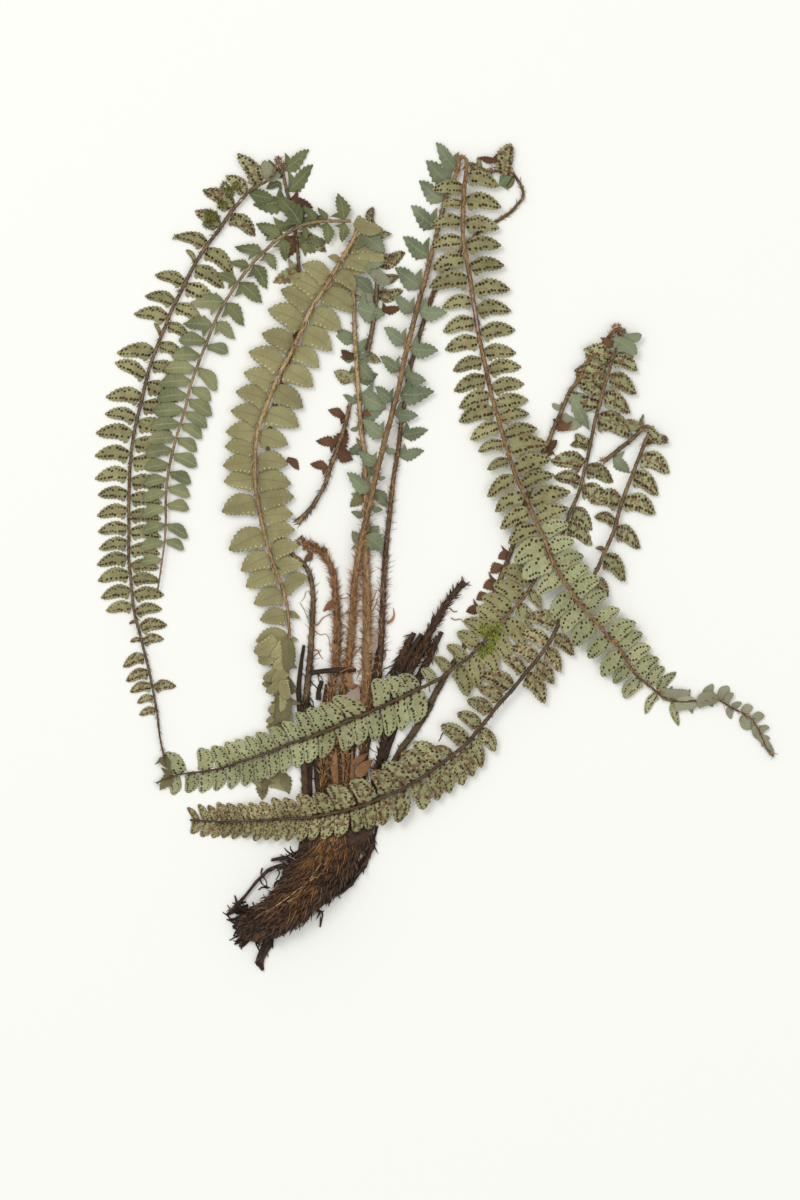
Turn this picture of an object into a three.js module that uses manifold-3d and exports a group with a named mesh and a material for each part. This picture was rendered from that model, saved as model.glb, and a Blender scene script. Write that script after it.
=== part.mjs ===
// Polystichum triangulum: a whole tufted fern, pressed flat and dried, lying on its side.
// Units are millimetres, +Z is up, and the plant lies on the plane z = 0.
// The origin is under the middle of the plant.
import * as THREE from 'three';
import { mergeVertices } from 'three/addons/utils/BufferGeometryUtils.js';
import Module from 'manifold-3d';

const wasm = await Module();
wasm.setup();

// Places on the plan are given in plan units, x to the right and y down, and turned into millimetres here.
const PLAN_UNIT = 0.3791;
const PLAN_MIDDLE = { x: 434.5, y: 555.5 };

const LEAFLET_THICKNESS = 0.6;
const MIDRIB_SEAT = 0.3;
const RIB_STRIP_WIDTH = 1.2;

// A course is sampled every step. A stem gets a ring after this run or this turn, whichever comes first.
const COURSE_STEP = 1.0;
const RING_STEP = 12;
const RING_TURN = THREE.MathUtils.degToRad(16);

// A stem gets thinner in height more slowly than in width, as pressed stems do.
const STEM_BASE_HEIGHT = 0.35;
const STEM_HEIGHT_PER_WIDTH = 0.4;

// Section of a stem: flat below and ridged above, as shares of its width and height.
const STEM_SECTION = [[-0.35, 0], [0.35, 0], [0.5, 0.5], [0, 1], [-0.5, 0.5]];

// Outline of a leaflet from its base to its tip and back. The first number runs along the leaflet, the second
// along the midrib towards the frond's tip, both as shares of the leaflet's length. The last point is the lobe
// beside the midrib.
const LEAFLET_OUTLINE = [[0.35, -0.20], [0.82, -0.17], [1, 0.02], [0.72, 0.16], [0.14, 0.30]];
const LEAFLET_FOOT = { back: 0.12, fore: 0.15 };

// Neighbours on one side of a midrib keep this gap. The span is what a leaflet as broad as its outline needs.
const LEAFLET_SPAN = 0.45;
const LEAFLET_GAP = 0.35;
const LEAST_PITCH = 2.4;
const BLADE_END_MARGIN = 1.6;

const COLOURS = {
  upperFace: 0x6f8468,
  underFace: 0x969b6c,
  oliveFace: 0x8f8e58,
  withered: 0x6b3f28,
  midrib: 0x7a5233,
  scalyStipe: 0x8a5a34,
  deadStipe: 0x3a2a20,
  rhizome: 0x4a2d1b,
};

// Each point of a stem: plan x, plan y, height of its underside in mm, width in mm.
const OUTER_LEFT_STEM = [
  [306, 814, 0.1, 3.2], [305, 780, 0.1, 3.1], [304, 740, 0.1, 3.0], [306, 700, 0.1, 2.8],
  [310, 660, 0.1, 2.6], [312, 625, 0.1, 2.2], [313, 596, 0.1, 2.0], [310, 576, 0.1, 1.9],
  [303, 563, 0.1, 1.8], [293, 555, 0.1, 1.7], [283, 543, 0.1, 1.7], [275, 520, 0.1, 1.7],
  [269, 485, 0.1, 1.7], [268, 445, 0.1, 1.7], [275, 405, 0.1, 1.7], [287, 365, 0.1, 1.7],
  [296, 330, 0.1, 1.7], [300, 300, 0.4, 1.6], [299, 272, 0.9, 1.5], [297, 245, 0.9, 1.5],
  [292, 215, 0.9, 1.4], [287, 192, 0.9, 1.4], [284, 178, 1.1, 1.3], [282, 167, 1.4, 1.2],
  [279, 162, 1.7, 1.2], [276, 166, 2.0, 1.2], [274, 174, 2.1, 1.2], [268, 181, 2.1, 1.2],
  [261, 185, 2.0, 1.3], [250, 191, 1.7, 1.4], [242, 200, 1.4, 1.5], [233, 210, 1.1, 1.6],
  [219, 230, 0.9, 1.6], [204, 250, 0.9, 1.6], [192, 270, 0.9, 1.6], [182, 290, 0.9, 1.6],
  [172, 310, 0.9, 1.5], [164, 330, 0.9, 1.5], [156, 350, 0.9, 1.5], [149, 370, 0.9, 1.5],
  [142, 400, 0.9, 1.5], [137, 420, 0.9, 1.5], [133, 440, 0.9, 1.4], [130, 470, 0.9, 1.4],
  [129, 500, 0.9, 1.4], [129, 530, 0.9, 1.3], [129, 560, 0.9, 1.3], [131, 580, 0.9, 1.3],
  [134, 610, 0.9, 1.2], [139, 630, 0.9, 1.2], [144, 650, 0.9, 1.1], [149, 670, 0.9, 1.1],
  [153, 690, 0.9, 1.0], [157, 712, 0.9, 0.9], [160, 737, 0.9, 0.8], [163, 752, 0.9, 0.8],
  [166, 766, 0.9, 0.7],
];
const SECOND_LEFT_STEM = [
  [351, 222, 3.3, 1.4], [338, 222, 3.3, 1.4], [325, 222, 3.3, 1.4], [310, 224, 3.3, 1.4],
  [300, 227, 3.3, 1.4], [290, 233, 3.3, 1.4], [278, 240, 3.2, 1.4], [268, 249, 2.7, 1.4],
  [258, 258, 2.2, 1.4], [250, 267, 1.9, 1.4], [240, 280, 1.8, 1.3], [230, 295, 1.8, 1.3],
  [222, 308, 1.8, 1.3], [216, 320, 1.8, 1.3], [206, 345, 1.8, 1.3], [200, 360, 1.8, 1.3],
  [191, 385, 1.8, 1.2], [185, 410, 1.8, 1.2], [176, 440, 1.8, 1.2], [169, 470, 1.8, 1.2],
  [166, 500, 1.8, 1.1], [166, 520, 1.8, 1.0], [165, 540, 1.8, 0.9], [161, 570, 1.8, 0.8],
  [158, 590, 1.8, 0.7],
];
const THIRD_STEM = [
  [346, 814, 0.1, 3.2], [345, 780, 0.1, 3.2], [346, 745, 0.1, 3.4], [352, 722, 0.1, 3.6],
  [361, 705, 0.1, 3.8], [366, 685, 0.1, 3.8], [367, 650, 0.1, 3.6], [367, 610, 0.1, 3.4],
  [366, 575, 0.1, 3.2], [366, 552, 0.5, 2.7], [367, 530, 0.9, 2.2], [366, 500, 0.9, 2.0],
  [365, 470, 0.9, 2.0], [364, 448, 0.9, 2.0], [361, 430, 0.9, 2.0], [359, 400, 0.9, 2.0],
  [357, 370, 0.9, 1.9], [355, 340, 0.9, 1.9], [354, 310, 0.9, 1.8], [353, 285, 0.9, 1.8],
  [354, 265, 0.9, 1.7], [358, 250, 0.9, 1.5], [364, 240, 0.9, 1.3], [367, 233, 1.2, 1.3],
  [364, 227, 2.0, 1.4], [358, 229, 2.8, 1.6], [354, 239, 3.3, 1.8], [349, 248, 3.4, 1.9],
  [343, 258, 3.3, 1.9], [336, 270, 3.1, 1.9], [328, 283, 2.9, 1.9], [320, 296, 2.7, 1.9],
  [312, 308, 2.7, 1.9], [302, 330, 2.7, 1.9], [296, 343, 2.7, 1.9], [290, 355, 2.7, 1.9],
  [277, 380, 2.7, 1.9], [266, 408, 2.7, 1.9], [258, 432, 2.7, 1.9], [255, 460, 2.7, 1.9],
  [256, 490, 2.7, 1.8], [261, 518, 2.7, 1.8], [267, 543, 2.7, 1.7], [275, 568, 2.7, 1.6],
  [283, 590, 2.6, 1.5], [287, 605, 2.3, 1.4], [289, 625, 1.9, 1.3], [289, 650, 1.5, 1.2],
  [287, 675, 1.2, 1.1], [285, 700, 1.0, 1.0], [284, 725, 0.9, 0.9], [279, 750, 0.9, 0.8],
  [271, 775, 0.9, 0.7], [263, 794, 0.9, 0.6],
];
const LONG_RIGHT_STEM = [
  [334, 814, 0.1, 3.2], [334, 770, 0.1, 3.2], [336, 730, 0.1, 3.2], [341, 700, 0.1, 3.2],
  [347, 670, 0.1, 3.0], [351, 640, 0.1, 2.9], [353, 610, 0.1, 2.8], [354, 590, 0.6, 2.7],
  [357, 565, 2.2, 2.6], [361, 542, 3.2, 2.5], [366, 520, 3.2, 2.4], [371, 500, 3.2, 2.4],
  [375, 480, 3.2, 2.3], [380, 460, 3.2, 2.3], [385, 440, 3.2, 2.3], [390, 422, 3.2, 2.3],
  [394, 405, 3.2, 2.3], [399, 388, 3.2, 2.2], [403, 366, 3.2, 2.2], [408, 345, 3.1, 2.2],
  [413, 325, 2.9, 2.2], [418, 305, 2.4, 2.1], [423, 287, 1.6, 2.0], [427, 272, 1.0, 2.0],
  [431, 255, 0.9, 1.9], [435, 240, 0.9, 1.9], [439, 224, 0.9, 1.9], [443, 208, 0.9, 1.8],
  [448, 192, 0.9, 1.7], [453, 181, 1.0, 1.7], [458, 170, 1.3, 1.6], [459, 162, 1.8, 1.5],
  [462, 157, 2.2, 1.5], [466, 161, 2.7, 1.6], [466, 172, 3.1, 1.8], [464, 190, 3.3, 1.9],
  [463, 215, 3.3, 1.9], [463, 240, 3.3, 1.9], [466, 258, 3.3, 1.9], [470, 280, 3.2, 1.9],
  [473, 300, 2.4, 1.9], [477, 325, 1.4, 1.9], [482, 352, 0.9, 1.9], [486, 370, 0.9, 1.9],
  [492, 398, 1.1, 1.8], [499, 422, 2.2, 1.8], [503, 437, 3.0, 1.8], [510, 460, 3.3, 1.8],
  [517, 480, 3.4, 1.7], [527, 501, 3.6, 1.7], [534, 519, 4.0, 1.7], [543, 537, 4.7, 1.6],
  [550, 557, 5.3, 1.6], [563, 580, 5.3, 1.6], [577, 601, 5.3, 1.5], [590, 616, 5.3, 1.5],
  [604, 632, 4.8, 1.5], [620, 650, 3.6, 1.4], [634, 673, 2.2, 1.3], [647, 684, 1.4, 1.2],
  [659, 694, 0.9, 1.1], [670, 700, 0.9, 1.0], [682, 702, 0.9, 1.0], [695, 701, 0.9, 1.0],
  [708, 699, 0.9, 0.9], [720, 701, 0.9, 0.9], [730, 707, 0.9, 0.8], [740, 712, 0.9, 0.8],
  [750, 718, 0.9, 0.7], [757, 727, 0.9, 0.6], [762, 738, 0.9, 0.6], [767, 749, 0.9, 0.5],
  [773, 756, 0.9, 0.5],
];
const HOOKED_STEM = [
  [360, 814, 0.1, 3.0], [361, 780, 0.1, 3.0], [364, 745, 0.1, 2.9], [369, 714, 0.1, 2.8],
  [376, 686, 0.1, 2.8], [380, 660, 0.1, 2.7], [381, 639, 0.1, 2.6], [383, 596, 0.1, 2.4],
  [385, 559, 0.1, 2.2], [388, 529, 0.4, 2.1], [391, 500, 0.9, 2.0], [394, 475, 0.9, 2.0],
  [398, 450, 0.9, 2.0], [401, 425, 0.9, 1.9], [404, 405, 0.7, 1.9], [407, 388, 0.3, 1.9],
  [411, 365, 0.1, 1.9], [417, 345, 0.1, 1.8], [421, 330, 0.1, 1.8], [427, 312, 0.1, 1.8],
  [433, 294, 0.1, 1.7], [441, 280, 0.1, 1.6], [452, 262, 0.1, 1.5], [466, 245, 0.1, 1.5],
  [480, 232, 0.1, 1.4], [494, 223, 0.1, 1.4], [511, 212, 0.1, 1.3], [518, 204, 0.2, 1.3],
  [523, 197, 0.4, 1.3], [522, 189, 0.7, 1.2], [518, 181, 0.9, 1.2], [511, 173, 0.9, 1.2],
  [502, 171, 0.9, 1.1], [492, 172, 0.9, 1.0], [482, 171, 0.9, 0.9], [473, 170, 0.9, 0.8],
];
const SMALL_CENTRE_STEM = [
  [368, 352, 0.9, 1.8], [371, 335, 0.9, 2.0], [374, 318, 0.9, 2.0], [376, 300, 0.9, 2.0],
  [377, 285, 0.9, 2.0], [377, 270, 0.9, 1.8], [377, 258, 0.9, 1.3],
];
const WITHERED_STEM = [
  [350, 404, 0.9, 1.7], [345, 425, 0.9, 1.9], [340, 440, 0.9, 1.9], [335, 455, 0.9, 1.9],
  [330, 468, 0.9, 1.9], [326, 482, 0.9, 1.8], [320, 494, 0.9, 1.7], [312, 507, 0.6, 1.8],
  [303, 517, 0.2, 2.2], [297, 523, 0.1, 3.2],
];
const UPPER_CROSSING_STEM = [
  [378, 814, 0.1, 3.2], [384, 785, 0.1, 3.2], [392, 766, 0.1, 3.2], [402, 748, 0.1, 3.4],
  [411, 736, 0.1, 3.6], [421, 721, 0.1, 3.6], [428, 710, 0.1, 3.5], [433, 698, 0.1, 3.4],
  [441, 684, 0.1, 3.2], [450, 668, 0.1, 2.8], [463, 648, 0.1, 2.4], [478, 624, 0.1, 2.1],
  [492, 598, 0.1, 2.0], [503, 572, 0.1, 2.0], [512, 548, 0.1, 1.9], [520, 520, 0.1, 1.9],
  [528, 495, 0.1, 1.9], [537, 468, 0.1, 1.9], [545, 449, 0.3, 1.9], [550, 438, 0.6, 1.9],
  [555, 425, 0.9, 1.8], [561, 412, 0.9, 1.8], [565, 402, 0.9, 1.7], [570, 391, 0.9, 1.7],
  [576, 383, 0.9, 1.7], [581, 374, 0.9, 1.6], [586, 364, 0.9, 1.6], [592, 356, 0.9, 1.6],
  [599, 348, 0.9, 1.5], [606, 340, 0.9, 1.5], [612, 333, 1.0, 1.4], [618, 329, 1.4, 1.3],
  [623, 332, 2.2, 1.3], [621, 340, 2.9, 1.4], [616, 349, 3.1, 1.4], [612, 358, 3.1, 1.5],
  [608, 374, 3.1, 1.5], [604, 386, 2.8, 1.5], [601, 399, 2.4, 1.5], [597, 412, 2.1, 1.5],
  [594, 424, 1.8, 1.5], [591, 440, 1.3, 1.5], [588, 455, 0.9, 1.5], [585, 467, 0.9, 1.5],
  [581, 485, 0.9, 1.5], [577, 497, 0.9, 1.5], [570, 512, 0.9, 1.5], [565, 528, 1.2, 1.4],
  [556, 548, 1.8, 1.4], [547, 563, 2.3, 1.4], [538, 573, 2.4, 1.4], [533, 583, 2.4, 1.4],
  [524, 597, 2.4, 1.4], [517, 605, 2.4, 1.4], [508, 615, 2.4, 1.4], [497, 627, 2.4, 1.4],
  [487, 638, 2.4, 1.4], [478, 648, 2.4, 1.4], [468, 658, 2.5, 1.4], [457, 666, 2.7, 1.4],
  [447, 673, 2.8, 1.4], [439, 679, 2.9, 1.4], [425, 686, 3.1, 1.4], [412, 692, 3.2, 1.4],
  [402, 697, 3.2, 1.4], [385, 705, 3.2, 1.4], [367, 713, 3.2, 1.4], [350, 720, 3.2, 1.4],
  [334, 727, 3.2, 1.4], [318, 734, 3.2, 1.4], [304, 739, 3.1, 1.3], [288, 744, 2.9, 1.3],
  [273, 751, 2.8, 1.3], [255, 757, 2.6, 1.2], [240, 762, 1.9, 1.1], [222, 768, 1.1, 1.0],
  [200, 772, 0.9, 0.9], [182, 774, 0.9, 0.8], [168, 778, 0.9, 0.7], [156, 783, 0.9, 0.6],
];
const LOWER_CROSSING_STEM = [
  [603, 462, 0.9, 1.9], [612, 455, 0.9, 1.8], [622, 447, 0.9, 1.8], [632, 439, 0.9, 1.7],
  [639, 432, 1.0, 1.7], [644, 427, 1.2, 1.6], [650, 428, 1.5, 1.6], [649, 434, 1.7, 1.6],
  [645, 441, 1.8, 1.6], [641, 452, 1.8, 1.6], [637, 462, 1.8, 1.6], [632, 475, 1.8, 1.7],
  [628, 485, 1.8, 1.7], [623, 499, 1.8, 1.7], [618, 514, 1.8, 1.7], [614, 530, 1.9, 1.7],
  [609, 542, 2.1, 1.7], [603, 555, 2.6, 1.7], [596, 571, 3.0, 1.6], [584, 588, 3.2, 1.6],
  [571, 605, 3.2, 1.6], [561, 619, 3.2, 1.6], [555, 631, 3.2, 1.7], [550, 641, 3.2, 1.7],
  [543, 651, 3.2, 1.7], [534, 663, 3.2, 1.7], [527, 671, 3.3, 1.7], [519, 681, 3.4, 1.7],
  [508, 694, 3.4, 1.7], [497, 706, 3.4, 1.7], [487, 719, 3.4, 1.7], [477, 731, 3.4, 1.7],
  [467, 743, 3.4, 1.6], [456, 752, 3.4, 1.6], [447, 759, 3.4, 1.6], [436, 767, 3.6, 1.6],
  [425, 775, 4.0, 1.5], [412, 783, 4.6, 1.5], [400, 790, 5.0, 1.5], [384, 796, 5.0, 1.5],
  [368, 803, 5.0, 1.4], [350, 809, 5.0, 1.4], [330, 813, 5.0, 1.4], [310, 817, 5.0, 1.3],
  [290, 818, 4.9, 1.3], [275, 819, 4.4, 1.2], [260, 820, 3.6, 1.2], [245, 821, 2.5, 1.1],
  [228, 822, 1.3, 1.0], [210, 821, 0.9, 1.0], [190, 820, 0.9, 0.9],
];

const CURLED_STIPE = [
  [322, 814, 0.1, 3.0], [323, 770, 0.1, 3.0], [325, 730, 0.1, 3.0], [330, 698, 0.1, 3.0],
  [335, 670, 0.1, 2.9], [337, 640, 0.1, 2.8], [337, 610, 0.1, 2.6], [335, 590, 0.1, 2.4],
  [332, 571, 0.1, 2.3], [325, 557, 0.1, 2.4], [316, 549, 0.1, 2.6], [305, 543, 0.1, 2.4],
];
const OLD_STIPE_A = [
  [368, 814, 0.1, 3.2], [374, 785, 0.1, 3.2], [380, 760, 0.1, 3.2], [386, 735, 0.1, 3.3],
  [394, 708, 0.1, 3.4], [402, 684, 0.1, 3.6], [412, 663, 0.1, 3.6], [424, 643, 0.1, 3.2],
  [434, 625, 0.1, 3.0], [443, 609, 0.1, 2.8], [451, 597, 0.1, 2.4], [458, 589, 0.1, 2.4],
  [464, 582, 0.1, 2.8],
];
const OLD_STIPE_B = [
  [438, 636, 0.1, 2.6], [433, 649, 0.1, 2.8], [426, 663, 0.1, 2.8], [418, 679, 0.1, 2.6],
  [411, 696, 0.1, 2.4], [405, 712, 0.1, 2.0], [401, 726, 0.1, 1.6],
];
const OLD_STIPE_C = [
  [414, 633, 0.1, 2.2], [407, 646, 0.1, 2.6], [399, 661, 0.1, 2.6], [391, 680, 0.1, 2.4],
  [386, 698, 0.1, 2.0],
];
const CROSS_STICK = [
  [310, 673, 2.2, 2.0], [325, 671, 2.2, 2.3], [340, 670, 2.2, 2.3], [356, 670, 2.2, 1.8],
];

// Leaflets are placed by the plan places of their tips. Each grows from the midrib point nearest to its tip,
// moved back by the lean of its side times its length. A second pair of numbers gives its foot instead.
const LEAFLETS = [
  {
    name: 'outer_left_leaflets_rising', stem: OUTER_LEFT_STEM, colour: 'upperFace',
    from: [297, 262], to: [281, 164], lean: [0.3, 0.3], broad: 1.2,
    tips: [
      [265, 160, 282, 170], [253, 205, 289, 201], [276, 228, 294, 225],
      [309, 150, 283, 172], [313, 165, 287, 190], [311, 207, 292, 215], [326, 243, 297, 248],
    ],
  },
  {
    name: 'outer_left_leaflets', stem: OUTER_LEFT_STEM, colour: 'underFace',
    from: [268, 181], to: [159, 724], lean: [0.2, 0.2], broad: 1.0,
    tips: [
      [238, 154], [226, 176], [203, 190], [195, 211], [175, 236], [186, 250], [155, 275], [145, 296],
      [134, 314], [154, 323], [117, 353], [115, 363], [106, 397], [105, 414], [96, 433], [95, 456],
      [95, 479], [98, 495], [97, 516], [98, 532], [99, 549], [97, 565], [98, 581], [101, 598],
      [106, 611], [129, 624], [130, 642], [123, 667], [126, 681], [130, 692], [137, 703], [139, 715],
      [255, 234], [231, 272], [221, 284], [212, 302], [197, 317], [184, 333], [177, 354], [174, 370],
      [172, 398], [170, 412], [167, 430], [164, 449], [162, 467], [160, 484], [159, 500], [158, 517],
      [158, 535], [158, 552], [158, 566], [160, 579], [164, 594], [162, 608], [167, 624], [164, 638],
      [176, 686],
    ],
  },
  {
    name: 'second_left_leaflets', stem: SECOND_LEFT_STEM, colour: 'upperFace',
    from: [349, 222], to: [161, 572], lean: [0.3, 0.35], broad: 1.0,
    tips: [
      [338, 194], [318, 208], [304, 206], [277, 196], [258, 226], [235, 247], [230, 262], [218, 273],
      [190, 303], [183, 324], [179, 340], [172, 356], [165, 369], [160, 383], [157, 398], [154, 412],
      [151, 426], [148, 440], [145, 454], [145, 468], [144, 484], [143, 500], [142, 516], [142, 532],
      [141, 547], [141, 562],
      [342, 243], [328, 245], [306, 240], [286, 262], [276, 270], [267, 289], [262, 303], [244, 326],
      [235, 339], [228, 353], [217, 390], [211, 400], [212, 415], [207, 427], [202, 438], [197, 451],
      [197, 466], [191, 483], [190, 496], [189, 509], [188, 537], [184, 549],
    ],
  },
  {
    name: 'third_leaflets_rising', stem: THIRD_STEM, colour: 'upperFace',
    from: [367, 528], to: [353, 285], lean: [0.3, 0.3], broad: 1.2,
    tips: [
      [351, 512], [351, 494], [349, 449], [350, 430], [343, 395], [334, 372], [340, 357], [336, 336],
      [384, 409], [378, 374], [373, 353], [371, 290],
    ],
  },
  {
    name: 'third_leaflets', stem: THIRD_STEM, colour: 'oliveFace',
    from: [356, 236], to: [265, 790], lean: [0.15, 0.1], broad: 1.2,
    tips: [
      [328, 257], [302, 265], [289, 277], [281, 290], [268, 310], [262, 334], [249, 352], [244, 373],
      [236, 392], [231, 411], [226, 432], [225, 447], [223, 466], [224, 482], [222, 512], [229, 550],
      [241, 571], [246, 587], [254, 604], [260, 620], [256, 641], [262, 660], [262, 684], [268, 710],
      [266, 727], [252, 781],
      [383, 230], [385, 251], [371, 272], [356, 291], [354, 312], [341, 330], [332, 351], [319, 368],
      [313, 387], [303, 408], [299, 427], [288, 445], [288, 465], [291, 484], [294, 497], [293, 514],
      [295, 530], [299, 546], [303, 564], [308, 577], [300, 618], [298, 640], [297, 668], [296, 692],
      [292, 714], [290, 790],
    ],
  },
  {
    name: 'long_right_leaflets_rising', stem: LONG_RIGHT_STEM, colour: 'upperFace',
    from: [364, 528], to: [459, 166], lean: [0.4, 0.2], broad: 1.1,
    tips: [
      [436, 143], [426, 161], [419, 181], [411, 206], [403, 237], [395, 268], [394, 296], [384, 328],
      [380, 357], [375, 387], [362, 420], [358, 452], [347, 473],
      [447, 313], [438, 351], [426, 381], [434, 392], [418, 416], [397, 452], [386, 478], [383, 510],
    ],
  },
  {
    name: 'long_right_leaflets', stem: LONG_RIGHT_STEM, colour: 'underFace',
    from: [466, 168], to: [770, 753], lean: [0.2, 0.2], broad: 1.0,
    tips: [
      [499, 187], [501, 208], [499, 229], [501, 246], [504, 266], [510, 290], [511, 311], [515, 330],
      [516, 353], [521, 367], [524, 384], [528, 400], [529, 414], [537, 429], [548, 444], [551, 459],
      [554, 475], [570, 492], [568, 508], [568, 524], [574, 542], [583, 556], [588, 567], [599, 578],
      [606, 592], [619, 609], [635, 622], [642, 633], [650, 647], [658, 658], [664, 667], [676, 672],
      [672, 686],
      [432, 190], [440, 207], [430, 226], [430, 248], [431, 270], [429, 288], [442, 308], [443, 332],
      [445, 350], [453, 371], [454, 391], [459, 408], [459, 422], [470, 440], [478, 452], [487, 470],
      [487, 497], [495, 512], [500, 529], [508, 544], [514, 562], [522, 578], [537, 594], [551, 619],
      [562, 632], [573, 646], [588, 658], [601, 676], [613, 683], [624, 698], [645, 714],
      [690, 689], [712, 684], [728, 686], [741, 702], [752, 706], [760, 716], [765, 727], [770, 738],
      [678, 726], [692, 714], [712, 707], [730, 719], [741, 724], [748, 729], [757, 737], [761, 746],
    ],
  },
  {
    name: 'hooked_leaflets', stem: HOOKED_STEM, colour: 'upperFace',
    from: [392, 494], to: [401, 424], lean: [0.3, 0.3], broad: 1.1,
    tips: [[424, 451], [428, 430]],
  },
  {
    name: 'hooked_tip_leaflets', stem: HOOKED_STEM, colour: 'underFace',
    from: [518, 181], to: [475, 170], lean: [0.1, 0.1], broad: 1.2,
    tips: [[507, 144], [478, 157], [506, 189], [480, 182]],
  },
  {
    name: 'small_centre_leaflets', stem: SMALL_CENTRE_STEM, colour: 'underFace',
    from: [376, 312], to: [377, 261], lean: [0.1, 0.1], broad: 1.2,
    tips: [[403, 252, 377, 268], [392, 275, 377, 284], [391, 291, 376, 299]],
  },
  {
    name: 'withered_leaflets', stem: WITHERED_STEM, colour: 'withered',
    from: [348, 412], to: [325, 484], lean: [0.1, 0.1], broad: 1.3,
    tips: [[328, 410], [316, 441], [310, 464], [348, 447], [351, 459]],
  },
  {
    name: 'upper_crossing_leaflets_rising', stem: UPPER_CROSSING_STEM, colour: 'upperFace',
    from: [556, 424], to: [607, 339], lean: [0.2, 0.6], broad: 1.2,
    tips: [[552, 404], [582, 425], [634, 357], [638, 338]],
  },
  {
    name: 'upper_crossing_leaflets', stem: UPPER_CROSSING_STEM, colour: 'underFace',
    from: [614, 353], to: [160, 781], lean: [0.35, 0.25], broad: 1.0,
    tips: [
      [637, 371], [636, 394], [630, 413], [632, 436], [613, 482], [609, 502], [592, 530], [592, 545],
      [541, 608], [530, 628], [524, 646], [508, 660], [497, 674], [479, 688], [468, 696], [417, 723],
      [402, 731], [389, 736], [375, 741], [359, 745], [346, 751], [323, 758], [309, 763], [297, 768],
      [284, 773], [272, 777], [259, 782], [245, 786], [231, 789], [216, 791], [202, 793], [188, 793],
      [174, 795],
      [583, 350], [574, 371], [570, 445], [551, 461], [554, 477],
      [502, 570], [493, 584], [482, 596], [476, 607], [464, 620], [457, 632], [447, 645], [434, 657],
      [422, 668], [400, 674], [387, 677], [374, 679], [334, 696], [321, 703], [308, 708], [296, 712],
      [283, 721], [270, 727], [257, 732], [246, 736], [236, 739], [226, 742], [213, 746], [200, 748],
      [166, 752],
    ],
  },
  {
    name: 'lower_crossing_leaflets_rising', stem: LOWER_CROSSING_STEM, colour: 'upperFace',
    from: [606, 460], to: [640, 431], lean: [0.1, 0.1], broad: 1.4,
    tips: [[629, 473], [643, 414]],
  },
  {
    name: 'lower_crossing_leaflets', stem: LOWER_CROSSING_STEM, colour: 'underFace',
    from: [648, 436], to: [193, 820], lean: [0.35, 0.35], broad: 1.0,
    tips: [
      [668, 440], [669, 473], [658, 495], [655, 514], [640, 548], [625, 581], [608, 597], [574, 655],
      [561, 672], [554, 684], [545, 703], [495, 751], [482, 767], [473, 776], [463, 785], [450, 793],
      [438, 800], [424, 809], [399, 822], [383, 825], [369, 829], [356, 832], [338, 837], [324, 839],
      [311, 840], [299, 841], [287, 841], [276, 841], [266, 840], [255, 841], [244, 838], [233, 839],
      [223, 838], [213, 838], [202, 837], [192, 834],
      [588, 500], [594, 517], [595, 548], [525, 616], [520, 632], [509, 647], [502, 658], [480, 674],
      [478, 687], [467, 700], [457, 713], [441, 725], [435, 746], [413, 742], [402, 751], [383, 763],
      [373, 770], [352, 779], [330, 784], [315, 792], [299, 793], [285, 797], [273, 797], [261, 801],
      [250, 802], [239, 803], [228, 803], [218, 802], [209, 805], [199, 804], [188, 807],
    ],
  },
];

const STEMS = [
  { name: 'outer_left_stem', points: OUTER_LEFT_STEM, colour: 'midrib' },
  { name: 'second_left_stem', points: SECOND_LEFT_STEM, colour: 'midrib' },
  { name: 'third_stem', points: THIRD_STEM, colour: 'scalyStipe' },
  { name: 'long_right_stem', points: LONG_RIGHT_STEM, colour: 'scalyStipe' },
  { name: 'hooked_stem', points: HOOKED_STEM, colour: 'scalyStipe' },
  { name: 'small_centre_stem', points: SMALL_CENTRE_STEM, colour: 'midrib' },
  { name: 'withered_stem', points: WITHERED_STEM, colour: 'withered' },
  { name: 'upper_crossing_stem', points: UPPER_CROSSING_STEM, colour: 'midrib' },
  { name: 'lower_crossing_stem', points: LOWER_CROSSING_STEM, colour: 'midrib' },
  { name: 'curled_stipe', points: CURLED_STIPE, colour: 'scalyStipe' },
  { name: 'old_stipe_a', points: OLD_STIPE_A, colour: 'deadStipe' },
  { name: 'old_stipe_b', points: OLD_STIPE_B, colour: 'deadStipe' },
  { name: 'old_stipe_c', points: OLD_STIPE_C, colour: 'deadStipe' },
  { name: 'cross_stick', points: CROSS_STICK, colour: 'deadStipe' },
];

// The rhizome, section by section from its crown: plan place of the left edge, of the right edge, height in mm.
const RHIZOME_SECTIONS = [
  [303, 815, 379, 815, 2.4], [303, 832, 373, 836, 2.8], [300, 850, 362, 856, 4.9],
  [291, 866, 350, 876, 7.6], [278, 884, 334, 893, 9.6], [266, 899, 316, 909, 10.0],
  [252, 909, 297, 925, 9.0], [241, 918, 276, 936, 6.6], [239, 931, 259, 941, 3.6],
];
const RHIZOME_ARCH_POINTS = 13;
const RHIZOME_STEPS_BETWEEN = 3;
const RHIZOME_FLAT_SHARE = 0.8;
const RHIZOME_SIDE_FULLNESS = 0.7;
const RHIZOME_TOP_FULLNESS = 0.8;

// Scales stand out by a share of the section's size. They fade in between these two heights of the section.
const SCALE_RELIEF = 0.07;
const SCALES_FADE_FROM = 3;
const SCALES_FADE_TO = 6;

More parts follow.
